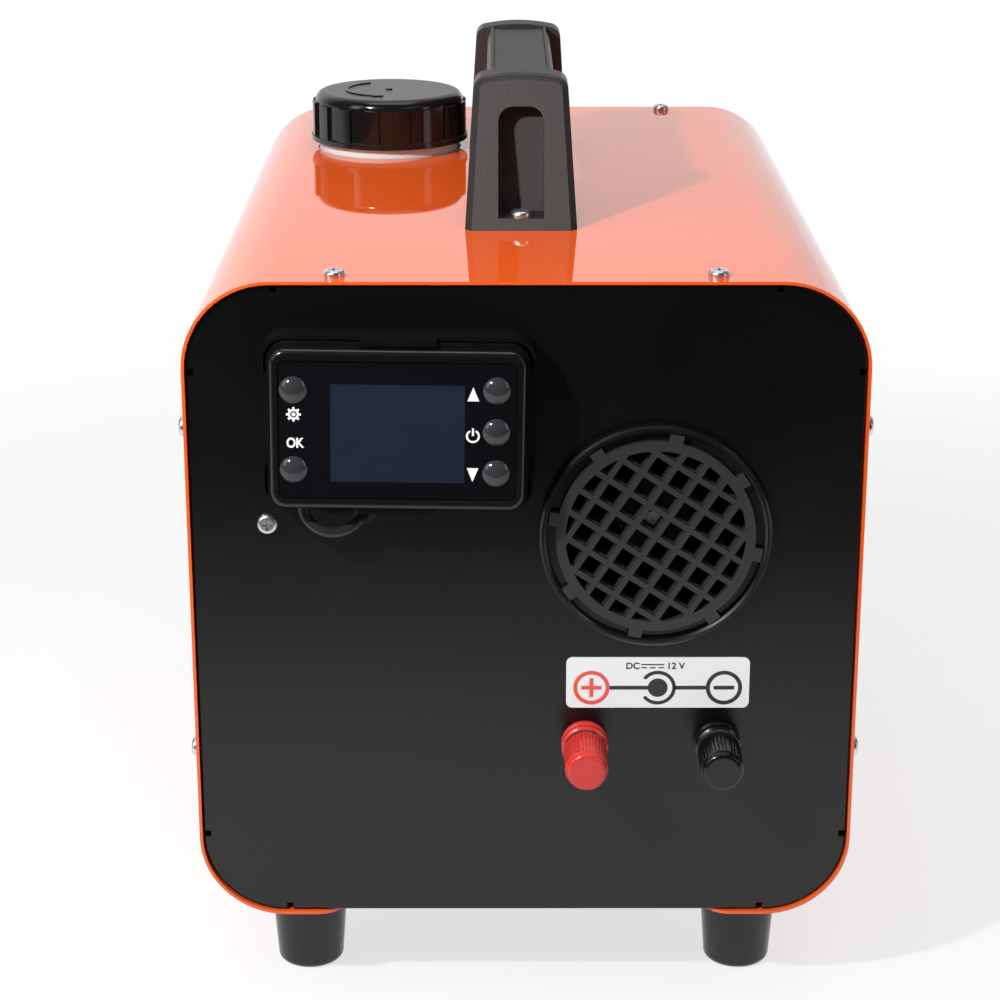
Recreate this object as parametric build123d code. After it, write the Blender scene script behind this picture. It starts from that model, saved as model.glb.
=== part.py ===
from build123d import *
import math
import os

# Portable diesel space heater in a sheet-steel case. Millimetres, +Z up, front towards -Y.
# The origin is on the floor, under the middle of the case.

os.makedirs("parts", exist_ok=True)

# Case and panels
case_width = 260.0
case_height = 262.0
case_length = 380.0
corner_radius = 34.0
sheet = 1.2
panel_sheet = 1.5
panel_recess = 1.4
panel_gap = 0.3
panel_flange = 18.0
panel_edge_round = 0.9
notch_width = 2.6
notch_depth = 3.0
flange_inset = 58.5
flange_end_round = 12.0
tray_sheet = 1.5
tray_round = 6.0

# Feet
foot_height = 37.0
foot_top_radius = 16.1
foot_bottom_radius = 13.4
foot_edge_round = 3.0
foot_side_inset = 40.7
foot_inset = 35.0
foot_screw_radius = 3.0
foot_screw_depth = 18.0
foot_screw_head = 4.0
foot_screw_flats = 10.0

# Pan-head screws
screw_radius = 2.0
screw_head_radius = 4.0
screw_head_height = 2.6
screw_length = 9.0
screw_clearance = 0.2
screw_edge_distance = 9.0
top_screw_inset = 57.8
side_screw_heights = (70.2, 203.4)

# Carry handle
handle_x = -1.3
handle_length = 206.0
handle_height = 60.0
handle_lean = 24.0
handle_base_width = 45.5
handle_top_width = 38.1
handle_crown = 2.6
handle_leg_base = 32.0
handle_leg_top = 17.0
handle_grip_width = 28.0
handle_grip_thickness = 22.0
handle_opening_slope = 14.0
handle_bevel = 2.6
handle_top_round = 5.0
handle_opening_round = 12.0
handle_grip_round = 4.0
grip_drop = 2.0
grip_rib_width = 1.2
grip_rib_rise = 0.7
grip_rib_inset = 2.2
slot_width = 18.6
slot_floor = 4.6
slot_top = 47.2
slot_depth = 18.0
slot_lean = 10.0
slot_round = 6.0
handle_screw_inset = 6.8
handle_screw_head = 4.6

# Fuel tank, neck and cap
cap_from_tank_side = 59.2
cap_y = 82.9
neck_radius = 33.0
neck_wall = 5.0
neck_above_case = 19.5
neck_clearance = 0.6
cap_lift_off_case = 4.4
cap_clearance = 0.5
cap_flange_radius = 36.7
cap_flange_height = 2.1
cap_skirt_radius = 34.6
cap_pad_radius = 36.1
cap_pad_count = 16
cap_pad_share = 0.5
cap_pad_top = 22.0
cap_height = 26.6
cap_dome_round = 4.4
cap_ceiling_gap = 0.6
gasket_thickness = 2.5
arrow_radius = 20.0
arrow_width = 1.5
arrow_rise = 0.6
arrow_half_angle = 66.5
arrow_heading = -84.5
tank_side_gap = 9.0
tank_width = 106.0
tank_front = -40.0
tank_rear = 140.0
tank_top_gap = 13.0
tank_wall = 3.0
tank_round = 12.0
tank_shell_round = 26.0
tank_end_round = 9.0
strap_width = 16.0
strap_sheet = 1.0
strap_foot = 8.0
strap_places = (-20.0, 127.0)
fit_gap = 0.3

# Controller, placed by its centre on the front panel
controller_x = -48.0
controller_height = 209.9
controller_tilt = 0.8
bezel_width = 95.1
bezel_height = 61.5
bezel_depth = 5.0
bezel_radius = 6.0
bezel_round = 2.0
window_width = 88.8
window_height = 53.3
window_thickness = 1.2
window_pocket = 1.7
window_radius = 2.5
window_gap = 0.25
display_width = 56.0
display_height = 43.0
display_thickness = 8.6
housing_width = 97.5
housing_height = 64.0
housing_depth = 12.0
housing_wall = 1.8
housing_radius = 7.0
housing_standoff = 4.2
board_width = 88.0
board_height = 54.0
board_thickness = 1.6
board_boss_height = 2.4
bracket_width = 103.0
bracket_height = 67.4
bracket_wall = 1.3
bracket_plate = 2.0
bracket_reach = 12.0
bracket_radius = 9.0
bracket_cut_height = 36.0
clip_width = 28.6
clip_lip = 1.4
clip_catch = 2.2
bottom_wall_cut = 84.0
button_radius = 5.2
button_gap = 0.3
button_dome = 1.7
button_travel = 1.0
button_flange_radius = 6.6
button_flange_thickness = 1.2
button_stem = 3.0
button_places = {
    "button_settings": (-38.7, 15.4),
    "button_ok": (-38.7, -15.4),
    "button_up": (36.8, 16.0),
    "button_power": (36.8, 0.0),
    "button_down": (36.8, -16.0),
}

# Controller lead, from the housing's underside to the grommet in the panel
lead_radius = 2.1
lead_y = -199.0
grommet_aside = 14.0
grommet_drop = 38.6
grommet_radius = 4.4
grommet_neck_radius = 3.6
grommet_flange = 1.2

# Intake ring and grille
intake_x = 49.8
intake_height = 162.1
ring_radius = 44.6
ring_lip_radius = 42.0
ring_rise = 4.2
ring_floor = 1.0
ring_sleeve_radius = 39.0
ring_bore_radius = 36.6
ring_sleeve_length = 20.0
ring_edge = 0.8
grille_radius = 38.4
grille_window_radius = 34.6
grille_front = 3.8
grille_step = 2.6
grille_depth = 7.6
grille_skirt = 1.7
bar_width = 2.2
bar_back_width = 3.1
bar_pitch = 9.4
bar_angle = 33.0
tab_count = 8
tab_angle = 34.5
tab_width = 5.3
tab_reach = 41.6

# Polarity plate and binding posts
plate_x = 51.9
plate_height = 100.7
plate_width = 71.8
plate_tall = 21.2
plate_thickness = 0.6
plate_radius = 2.5
post_places = {"positive": 23.5, "negative": 75.9}
post_height = 75.1
collar_radius = 9.2
collar_length = 7.0
collar_groove = 0.7
collar_neck_radius = 6.0
stud_radius = 3.0
stud_fit = 0.08
stud_rear = 15.0
washer_radius = 8.6
washer_thickness = 1.2
knob_radius = 8.6
knob_knurl_length = 18.2
knob_taper = 0.3
knob_end_radius = 7.7
knob_length = 20.6
knob_rib_count = 36
knob_rib_depth = 0.55
knob_bore_depth = 15.0
knob_end_round = 1.7
nut_flats = 10.0
nut_height = 5.0

# Heater unit, on the intake's axis
heater_width = 116.0
heater_tall = 118.0
heater_length = 320.0
heater_wall = 2.5
heater_radius = 30.0
heater_mouth_radius = 37.0
heater_outlet_radius = 35.0
fan_radius = 35.0
fan_hub_radius = 17.0
fan_depth = 16.0
fan_blades = 9
fan_setback = 5.0
shaft_radius = 3.0
shaft_fit = 0.05
motor_radius = 24.0
motor_length = 62.0
motor_setback = 28.0
motor_flange_radius = 45.0
motor_flange = 3.0
cup_depth = 45.0
cup_wall = 4.0
core_radius = 36.0
core_wall = 4.0
core_length = 150.0
fin_count = 24
fin_thickness = 2.0
fin_gap = 3.0
burner_radius = 25.0
burner_wall = 1.2
burner_length = 95.0
glow_radius = 4.0
glow_length = 40.0
glow_flats = 12.0
wheel_radius = 30.0
wheel_depth = 15.0
wheel_blades = 12
bracket_sheet = 2.0
bracket_leg_inset = 4.0
exhaust_radius = 12.0
exhaust_y = 60.0
air_radius = 11.0
air_y = -55.0
pipe_wall = 1.2
pipe_clearance = 1.0
pipe_floor_gap = 14.0
pipe_collar = 3.0
pipe_collar_rise = 3.0
socket_wall = 2.0
socket_depth = 10.0

# Outlet
outlet_radius = 37.5
outlet_wall = 1.5
outlet_reach = 28.0
outlet_flange_radius = 47.0
outlet_flange = 2.0

# Fuel feed
barb_radius = 2.5
hose_radius = 4.0
pickup_height = 20.0
filter_from_tank_side = 26.0
filter_y = -99.0
filter_radius = 12.0
filter_length = 46.0
pump_x = -55.0
pump_y = -103.0
pump_radius = 16.0
pump_length = 60.0
feed_height = 23.0
spigot_length = 13.0
hose_overlap = 9.0
clamp_wall = 3.0
clamp_width = 18.0
feed_x = 15.0
feed_y = -22.0
hose_lane_y = -50.0
hose_turn_reach = 36.0

# Control unit and leads
control_side_gap = 18.0
control_width = 78.0
control_tall = 64.0
control_depth = 24.0
control_low = 83.0
ear_sheet = 3.0
panel_screw_inset = 30.8
panel_screw_height = 166.7
wire_radius = 1.8
wire_bend = 7.0

# Places worked out from the dimensions above
flange_end = case_width / 2 - flange_inset
foot_x = case_width / 2 - foot_side_inset
top_screw_x = case_width / 2 - top_screw_inset
panel_screw_x = panel_screw_inset - case_width / 2
tank_left = tank_side_gap - case_width / 2
tank_right = tank_left + tank_width
cap_x = tank_left + cap_from_tank_side
filter_x = tank_left + filter_from_tank_side
control_left = control_side_gap - case_width / 2
grommet_x = controller_x - grommet_aside
grommet_height = controller_height - grommet_drop
case_bottom = foot_height
case_top = case_bottom + case_height
case_middle = case_bottom + case_height / 2
front_edge = -case_length / 2
rear_edge = case_length / 2
front_face = front_edge + panel_recess
front_inside = front_face + panel_sheet
rear_face = rear_edge - panel_recess
rear_inside = rear_face - panel_sheet
panel_width = case_width - 2 * (sheet + panel_gap)
panel_height = case_height - 2 * (sheet + panel_gap)
panel_radius = corner_radius - sheet - panel_gap
tray_bottom = case_bottom + sheet
tray_half_width = case_width / 2 - corner_radius - panel_gap
tray_top = tray_bottom + tray_sheet
intake_z = case_bottom + intake_height
post_z = case_bottom + post_height
heater_front = front_face + ring_sleeve_length + fit_gap
heater_rear = heater_front + heater_length
heater_bottom = intake_z - heater_tall / 2
fan_front = heater_front + fan_setback
motor_front = heater_front + motor_setback
motor_rear = motor_front + motor_length
core_front = motor_rear + motor_flange + cup_depth
core_rear = core_front + core_length
neck_top = case_top + neck_above_case
tank_top = case_top - sheet - tank_top_gap
tank_bottom = tray_top + strap_sheet + fit_gap
bracket_top = heater_bottom
controller_place = Location(
    (controller_x, front_face, case_bottom + controller_height), (0, controller_tilt, 0)
)


def save(name, shape):
    """Write one sub-part."""
    export_step(shape, f"parts/{name}.step")


def group(shapes):
    """Keep like pieces as separate solids of one sub-part."""
    return Compound(children=list(shapes))


def block(x_low, x_high, y_low, y_high, z_low, z_high):
    """A box between two corners."""
    middle = Pos((x_low + x_high) / 2, (y_low + y_high) / 2, (z_low + z_high) / 2)
    return middle * Box(x_high - x_low, y_high - y_low, z_high - z_low)


def rod_x(y, z, x_low, x_high, radius):
    return Pos((x_low + x_high) / 2, y, z) * Rot(0, 90, 0) * Cylinder(radius, x_high - x_low)


def rod_y(x, z, y_low, y_high, radius):
    return Pos(x, (y_low + y_high) / 2, z) * Rot(90, 0, 0) * Cylinder(radius, y_high - y_low)


def rod_z(x, y, z_low, z_high, radius):
    return Pos(x, y, (z_low + z_high) / 2) * Cylinder(radius, z_high - z_low)


def along_y(sketch, y_low, y_high):
    """Extrude a sketch drawn in X and Z between two Y places."""
    plane = Plane(origin=(0, y_high, 0), x_dir=(1, 0, 0), z_dir=(0, -1, 0))
    return extrude(plane * sketch, amount=y_high - y_low)


def along_x(sketch, half):
    """Extrude a sketch drawn in Y and Z to both sides of the middle."""
    return extrude(Plane.YZ * sketch, amount=half, both=True)


def polygon(points):
    return make_face(Polyline(*points, close=True))


def turned_z(points):
    """Turn a profile of radius and height about Z."""
    return revolve(Plane.XZ * polygon(points), Axis.Z)


def turned_y(points):
    """Turn a profile of radius and Y about Y."""
    return revolve(polygon(points), Axis.Y)


def hexagon(flats):
    return RegularPolygon(flats / math.sqrt(3), 6)


def tube_route(points, radii, radius, bore=0.0):
    """A tube whose path is straight runs joined by tangent arcs."""
    path = FilletPolyline(*points, radius=radii)
    start = Plane(origin=path @ 0, z_dir=path % 0)
    tube = sweep(start * Circle(radius), path=path)
    if bore:
        tube -= sweep(start * Circle(bore), path=path)
    return tube


def arc_radii(points, share=0.45):
    """The radius at each turn: a share of its shorter run, over the tangent of half the turn."""
    radii = []
    for before, corner, after in zip(points, points[1:], points[2:]):
        run_in = Vector(*corner) - Vector(*before)
        run_out = Vector(*after) - Vector(*corner)
        half_turn = math.radians(run_in.get_angle(run_out)) / 2
        radii.append(share * min(run_in.length, run_out.length) / math.tan(half_turn))
    return radii


def pan_screw(length, radius=screw_radius, head_radius=screw_head_radius, head_height=screw_head_height):
    """A cross-recess screw along Z, head up, with the head's underside at zero."""
    head = Pos(0, 0, head_height / 2) * Cylinder(head_radius, head_height)
    head = fillet(head.edges().filter_by(GeomType.CIRCLE).sort_by(Axis.Z)[-1], head_height * 0.6)
    screw = head + Pos(0, 0, -length / 2) * Cylinder(radius, length)
    recess = Box(head_radius * 1.1, head_radius * 0.24, head_height)
    cross = recess + Rot(0, 0, 90) * recess
    return screw - Pos(0, 0, head_height * 0.95) * cross


def hex_screw(length, radius, flats, head_height):
    """A hexagon screw along Z, head up, with the head's underside at zero."""
    head = extrude(hexagon(flats), amount=head_height)
    return head + Pos(0, 0, -length / 2) * Cylinder(radius, length)


# Places of the screws and holes that several pieces share
top_screw_places = [
    (side * top_screw_x, end * (rear_edge - screw_edge_distance)) for side in (-1, 1) for end in (-1, 1)
]
side_screw_places = [
    (side, end * (rear_edge - screw_edge_distance), case_bottom + height)
    for side in (-1, 1)
    for end in (-1, 1)
    for height in side_screw_heights
]
foot_places = {
    "foot_front_left": (-foot_x, front_edge + foot_inset),
    "foot_front_right": (foot_x, front_edge + foot_inset),
    "foot_rear_left": (-foot_x, rear_edge - foot_inset),
    "foot_rear_right": (foot_x, rear_edge - foot_inset),
}
handle_screw_y = handle_length / 2 - handle_screw_inset
bracket_screw_x = bezel_width * 0.3


# Case

def case_screw_holes(radius):
    """Cutters for the screws through the shell into the panels' flanges."""
    reach = screw_length + sheet
    holes = [rod_z(x, y, case_top - reach, case_top + 1, radius) for x, y in top_screw_places]
    half = case_width / 2
    for side, y, z in side_screw_places:
        holes.append(rod_x(y, z, min(side * (half - reach), side * (half + 1)),
                           max(side * (half - reach), side * (half + 1)), radius))
    return holes


def make_case_shell():
    outer = RectangleRounded(case_width, case_height, corner_radius)
    inner = RectangleRounded(case_width - 2 * sheet, case_height - 2 * sheet, corner_radius - sheet)
    wall = Pos(0, case_middle) * (outer - inner)
    shell = along_y(wall, front_edge, rear_edge)
    gap = block(-flange_end, flange_end, front_edge - 1, rear_edge + 1, case_bottom - 1, tray_bottom + 1)
    shell -= gap
    ends = shell.edges().filter_by(Axis.Z).filter_by_position(Axis.Z, case_bottom - 1, tray_bottom + 1)
    ends = ends.filter_by_position(Axis.X, -flange_end - 1, flange_end + 1)
    shell = fillet(ends, flange_end_round)
    shell -= rod_z(cap_x, cap_y, case_top - 2 * sheet, case_top + 1, neck_radius + neck_clearance)
    shell -= case_screw_holes(screw_radius + screw_clearance)
    for x, y in foot_places.values():
        shell -= rod_z(x, y, case_bottom - 1, tray_bottom + 1, foot_screw_radius + screw_clearance)
    for side in (-1, 1):
        shell -= rod_z(handle_x, side * handle_screw_y, case_top - 2 * sheet, case_top + 1,
                       screw_radius + screw_clearance)
    return shell


def make_panel_pan():
    """The front pan: a plate with a flange behind each straight side and a notch at each flange's end."""
    plate = along_y(Pos(0, case_middle) * RectangleRounded(panel_width, panel_height, panel_radius),
                    front_face, front_inside)
    front_edges = plate.faces().sort_by(Axis.Y)[0].edges()
    pan = fillet(front_edges, panel_edge_round)
    half_wide = panel_width / 2
    half_tall = panel_height / 2
    straight_x = half_wide - panel_radius - notch_width
    straight_z = half_tall - panel_radius - notch_width
    flange_rear = front_inside + panel_flange
    for side in (-1, 1):
        x_edges = sorted((side * half_wide, side * (half_wide - panel_sheet)))
        pan += block(*x_edges, front_inside, flange_rear, case_middle - straight_z, case_middle + straight_z)
        z_edges = sorted((case_middle + side * half_tall, case_middle + side * (half_tall - panel_sheet)))
        pan += block(-straight_x, straight_x, front_inside, flange_rear, *z_edges)
        for end in (-1, 1):
            notch_x = end * (straight_x + notch_width / 2)
            notch_z = case_middle + side * (half_tall - notch_depth / 2)
            pan -= Pos(notch_x, front_inside, notch_z) * Box(notch_width, 3 * panel_sheet, notch_depth)
            notch_x = side * (half_wide - notch_depth / 2)
            notch_z = case_middle + end * (straight_z + notch_width / 2)
            pan -= Pos(notch_x, front_inside, notch_z) * Box(notch_depth, 3 * panel_sheet, notch_width)
    return pan - case_screw_holes(screw_radius)


def make_front_panel():
    panel = make_panel_pan()
    panel -= rod_y(intake_x, intake_z, front_face - 1, front_inside + 1, ring_sleeve_radius + fit_gap)
    for x in post_places.values():
        panel -= rod_y(x, post_z, front_face - 1, front_inside + 1, collar_neck_radius + fit_gap)
    panel -= rod_y(grommet_x, case_bottom + grommet_height, front_face - 1, front_inside + 1,
                   grommet_neck_radius)
    panel -= rod_y(panel_screw_x, case_bottom + panel_screw_height, front_face - 1, front_inside + 1,
                   screw_radius + screw_clearance)
    for x in (-bracket_screw_x, bracket_screw_x):
        panel -= controller_place * rod_y(x, 0, -1, panel_sheet + 1, screw_radius)
    return panel


def make_rear_panel():
    panel = mirror(make_panel_pan(), about=Plane.XZ)
    return panel - rod_y(intake_x, intake_z, rear_inside - 1, rear_face + 1, outlet_radius + fit_gap)


def make_base_tray():
    tray_end = rear_inside - panel_flange - 1
    tray = block(-tray_half_width, tray_half_width, -tray_end, tray_end, tray_bottom, tray_top)
    tray = fillet(tray.edges().filter_by(Axis.Z), tray_round)
    for x, y in foot_places.values():
        tray -= rod_z(x, y, tray_bottom - 1, tray_top + 1, foot_screw_radius + screw_clearance)
    for y, radius in ((exhaust_y, exhaust_radius), (air_y, air_radius)):
        tray -= rod_z(intake_x, y, tray_bottom - 1, tray_top + 1, radius + pipe_clearance)
    return tray


def make_foot():
    foot = turned_z([(0, 0), (foot_bottom_radius, 0), (foot_top_radius, foot_height), (0, foot_height)])
    foot = fillet(foot.edges().filter_by(GeomType.CIRCLE).sort_by(Axis.Z)[0], foot_edge_round)
    return foot - rod_z(0, 0, foot_height - foot_screw_depth, foot_height + 1, foot_screw_radius)


def make_foot_screws():
    length = tray_top - foot_height + foot_screw_depth - 1
    screw = hex_screw(length, foot_screw_radius, foot_screw_flats, foot_screw_head)
    return group(Pos(x, y, tray_top) * screw for x, y in foot_places.values())


def make_case_screws():
    """All the pan-head screws: shell to panels, panel to control unit, bracket to panel, handle to shell."""
    screw = pan_screw(screw_length)
    screws = [Pos(x, y, case_top) * screw for x, y in top_screw_places]
    for side, y, z in side_screw_places:
        screws.append(Location((side * case_width / 2, y, z), (0, side * 90, 0)) * screw)
    panel_z = case_bottom + panel_screw_height
    screws.append(Location((panel_screw_x, front_face, panel_z), (90, 0, 0)) * screw)
    low_screw = pan_screw(screw_length - 2, head_radius=screw_head_radius * 0.9, head_height=1.6)
    handle_screw = pan_screw(screw_length + 3, head_radius=handle_screw_head)
    for x in (-bracket_screw_x, bracket_screw_x):
        screws.append(controller_place * Location((x, -bracket_plate, 0), (90, 0, 0)) * low_screw)
    for side in (-1, 1):
        screws.append(Pos(handle_x, side * handle_screw_y, case_top + slot_floor) * handle_screw)
    return group(screws)


# Carry handle

def leg_bevel(end):
    """What the bevel takes off round one leg's leaning outer face."""
    slope = math.hypot(handle_height, handle_lean)
    face = Plane(origin=(0, end * handle_length / 2, 0), x_dir=(-end, 0, 0),
                 z_dir=(0, end * handle_height / slope, handle_lean / slope))
    below = 12.0
    rise = handle_height - handle_crown
    widening = (handle_base_width - handle_top_width) / 2 / rise * handle_height / slope * below
    top = rise * slope / handle_height
    outline = make_face(
        Polyline((-handle_top_width / 2, top), (-handle_base_width / 2 - widening, -below),
                 (handle_base_width / 2 + widening, -below), (handle_top_width / 2, top))
        + ThreePointArc((handle_top_width / 2, top), (0, top + handle_crown), (-handle_top_width / 2, top))
    )
    outline = fillet(outline.vertices().sort_by(Axis.Y)[-2:], handle_top_round)
    deep = face.offset(-handle_bevel)
    kept = extrude(deep * outline, amount=handle_bevel, taper=45)
    around = deep * Pos(0, slope / 2, slope / 2) * Box(4 * handle_base_width, 4 * slope, slope)
    return around - kept


def make_carry_handle():
    half = handle_length / 2
    top_half = half - handle_lean
    outline = polygon([(-half, 0), (-top_half, handle_height + 1), (top_half, handle_height + 1), (half, 0)])
    foot_inner = half - handle_leg_base
    opening_height = handle_height - handle_grip_thickness
    opening_top = foot_inner - handle_opening_slope
    opening = polygon([(-foot_inner, -1), (-opening_top, opening_height),
                       (opening_top, opening_height), (foot_inner, -1)])
    opening = fillet(opening.vertices().sort_by(Axis.Y)[-2:], handle_opening_round)
    handle = along_x(outline, handle_base_width)
    front_view = make_face(
        Polyline((-handle_top_width / 2, handle_height - handle_crown), (-handle_base_width / 2, 0),
                 (handle_base_width / 2, 0), (handle_top_width / 2, handle_height - handle_crown))
        + ThreePointArc((handle_top_width / 2, handle_height - handle_crown), (0, handle_height),
                        (-handle_top_width / 2, handle_height - handle_crown))
    )
    front_view = fillet(front_view.vertices().sort_by(Axis.Y)[-2:], handle_top_round)
    handle &= along_y(front_view, -half - 1, half + 1)
    for end in (-1, 1):
        handle -= leg_bevel(end)
    handle -= along_x(opening, handle_base_width)
    # Narrower grip between the legs
    side_cut = polygon([(-foot_inner, -1), (-top_half + handle_leg_top, handle_height + 2),
                        (top_half - handle_leg_top, handle_height + 2), (foot_inner, -1)])
    grip = Rectangle(handle_grip_width, 2 * handle_height)
    grip = Pos(0, -grip_drop) * fillet(grip.vertices().sort_by(Axis.Y)[-2:], handle_grip_round)
    handle -= along_x(side_cut, handle_base_width) - along_y(grip, -half, half)
    # Two thin ribs along the top of the grip
    rib_half = top_half - handle_leg_top + 1
    grip_top = handle_height - grip_drop
    for side in (-1, 1):
        rib_x = side * (handle_grip_width / 2 - grip_rib_inset)
        handle += block(rib_x - grip_rib_width / 2, rib_x + grip_rib_width / 2, -rib_half, rib_half,
                        grip_top - 1, grip_top + grip_rib_rise)
    # Slot with the screw on its floor, in each leg
    slot_front = Pos(0, (slot_floor + slot_top) / 2) * Rectangle(slot_width, slot_top - slot_floor)
    slot_front = fillet(slot_front.vertices().sort_by(Axis.Y)[-2:], slot_round)
    floor_y = -half + slot_depth
    slot_side = polygon([(-half - 1, slot_floor), (floor_y, slot_floor),
                         (floor_y + slot_lean, slot_top), (-half - 1, slot_top)])
    slot = along_y(slot_front, -half - 1, 0) & along_x(slot_side, slot_width)
    handle -= slot
    handle -= mirror(slot, about=Plane.XZ)
    for side in (-1, 1):
        handle -= rod_z(0, side * handle_screw_y, -1, slot_floor + 1, screw_radius + screw_clearance)
    return Pos(handle_x, 0, case_top) * handle


# Controller, drawn about its own centre with the panel's face at zero

def rounded_box(width, height, radius, y_low, y_high):
    return along_y(RectangleRounded(width, height, radius), y_low, y_high)


housing_rear = -housing_standoff
housing_front = housing_rear - housing_depth
bezel_front = housing_front - bezel_depth
pocket_floor = bezel_front + window_pocket
board_rear = housing_rear - housing_wall - board_boss_height
board_front = board_rear - board_thickness


def make_controller_bracket():
    outer = RectangleRounded(bracket_width, bracket_height, bracket_radius)
    inner = RectangleRounded(bracket_width - 2 * bracket_wall, bracket_height - 2 * bracket_wall,
                             bracket_radius - bracket_wall)
    bracket = along_y(outer, -bracket_plate, 0) + along_y(outer - inner, -bracket_reach, 0)
    half_cut = bracket_cut_height / 2
    bracket -= block(-bracket_width, bracket_width, -bracket_reach - 1, -bracket_plate, -half_cut, half_cut)
    inner_half = bracket_height / 2 - bracket_wall
    bracket -= block(-bottom_wall_cut / 2, bottom_wall_cut / 2, -bracket_reach - 1, -bracket_plate,
                     -bracket_height, -inner_half + 0.1)
    lip_rear = housing_front - fit_gap
    lip_front = lip_rear - clip_lip
    for side in (-1, 1):
        z_edges = sorted((side * bracket_height / 2, side * inner_half))
        bracket += block(-clip_width / 2, clip_width / 2, lip_front, -bracket_plate, *z_edges)
        lip = sorted((side * bracket_height / 2, side * (bracket_height / 2 - clip_catch)))
        bracket += block(-clip_width / 2, clip_width / 2, lip_front, lip_rear, *lip)
    for x in (-bracket_screw_x, bracket_screw_x):
        bracket -= rod_y(x, 0, -bracket_plate - 1, 1, screw_radius + screw_clearance)
    return controller_place * bracket


def make_controller_back():
    back = rounded_box(housing_width, housing_height, housing_radius, housing_front, housing_rear)
    hollow = rounded_box(housing_width - 2 * housing_wall, housing_height - 2 * housing_wall,
                         housing_radius - housing_wall, housing_front - 1, housing_rear - housing_wall)
    back -= hollow
    for x in (-0.4, 0.4):
        for z in (-0.4, 0.4):
            back += rod_y(x * board_width, z * board_height, board_rear, housing_rear - housing_wall / 2, 3)
    return controller_place * back


def make_controller_bezel():
    bezel = rounded_box(bezel_width, bezel_height, bezel_radius, bezel_front, housing_front)
    bezel = fillet(bezel.faces().sort_by(Axis.Y)[0].edges(), bezel_round)
    bezel -= rounded_box(window_width, window_height, window_radius, bezel_front - 1, pocket_floor)
    bezel -= block(-display_width / 2 - fit_gap, display_width / 2 + fit_gap, bezel_front, housing_front + 1,
                   -display_height / 2 - fit_gap, display_height / 2 + fit_gap)
    for x, z in button_places.values():
        bezel -= rod_y(x, z, bezel_front - 1, housing_front + 1, button_radius + button_gap)
        bezel -= rod_y(x, z, housing_front - 1.4, housing_front + 1, button_flange_radius + button_gap)
    return controller_place * bezel


def make_display_window():
    window = rounded_box(window_width - 2 * window_gap, window_height - 2 * window_gap,
                         window_radius - window_gap, pocket_floor - window_thickness, pocket_floor)
    for x, z in button_places.values():
        window -= rod_y(x, z, bezel_front - 1, housing_front, button_radius + button_gap)
    return controller_place * window


def make_display_panel():
    return controller_place * block(-display_width / 2, display_width / 2, board_front - display_thickness,
                                    board_front, -display_height / 2, display_height / 2)


def make_controller_board():
    return controller_place * block(-board_width / 2, board_width / 2, board_front, board_rear,
                                    -board_height / 2, board_height / 2)


def make_button(x, z):
    """A domed button whose flange stops behind the bezel."""
    flange_front = housing_front - 1.4 + button_gap
    crown = bezel_front - button_dome
    shoulder = bezel_front + 0.3
    flange_rear = flange_front + button_flange_thickness
    profile = make_face(
        Polyline((button_radius, shoulder), (button_radius, flange_front),
                 (button_flange_radius, flange_front),
                 (button_flange_radius, flange_rear), (button_stem, flange_rear),
                 (button_stem, board_front - button_travel - 2 * button_gap),
                 (0, board_front - button_travel - 2 * button_gap), (0, crown))
        + ThreePointArc((0, crown), (button_radius * 0.62, crown + button_dome * 0.32),
                        (button_radius, shoulder))
    )
    return controller_place * Pos(x, 0, z) * revolve(profile, Axis.Y)


# Controller lead and its grommet

lead_exit = (controller_place * Pos(-36.2, lead_y - front_face, -housing_height / 2)).position
grommet_front = front_face - grommet_flange
lead_end_z = case_bottom + grommet_height
lead_start_z = lead_exit.Z - lead_radius * math.sin(math.radians(controller_tilt))
lead_points = [
    (lead_exit.X, lead_y, lead_start_z),
    (lead_exit.X, lead_y, lead_start_z - 4.6),
    (controller_x - 32.6, lead_y - 1.6, lead_start_z - 9.2),
    (controller_x - 26.4, lead_y - 2.4, lead_start_z - 11.4),
    (controller_x - 20.0, lead_y - 1.2, lead_start_z - 10.6),
    (controller_x - 15.6, lead_y + 1.6, lead_start_z - 8.0),
    (grommet_x, grommet_front - 4.2, lead_end_z),
    (grommet_x, grommet_front, lead_end_z),
]


def make_controller_cable():
    radii = arc_radii(lead_points)
    print("lead bend radii", [round(radius, 1) for radius in radii])
    return tube_route(lead_points, radii, lead_radius)


def make_cable_grommet():
    inside = front_inside + grommet_flange
    grommet = rod_y(0, 0, grommet_front, front_face, grommet_radius)
    grommet += rod_y(0, 0, front_face, front_inside, grommet_neck_radius)
    grommet += rod_y(0, 0, front_inside, inside, grommet_radius)
    grommet -= rod_y(0, 0, front_face, inside + 1, lead_radius)
    return Pos(grommet_x, 0, lead_end_z) * grommet


# Intake

def make_intake_ring():
    lip_front = front_face - ring_rise
    floor = front_face - ring_floor
    ring = turned_y([
        (ring_bore_radius, floor), (ring_lip_radius, floor), (ring_lip_radius, lip_front + ring_edge),
        (ring_lip_radius + ring_edge, lip_front), (ring_radius - ring_edge, lip_front),
        (ring_radius, lip_front + ring_edge), (ring_radius, front_face), (ring_sleeve_radius, front_face),
        (ring_sleeve_radius, front_face + ring_sleeve_length),
        (ring_bore_radius, front_face + ring_sleeve_length),
    ])
    return Pos(intake_x, 0, intake_z) * ring


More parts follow.
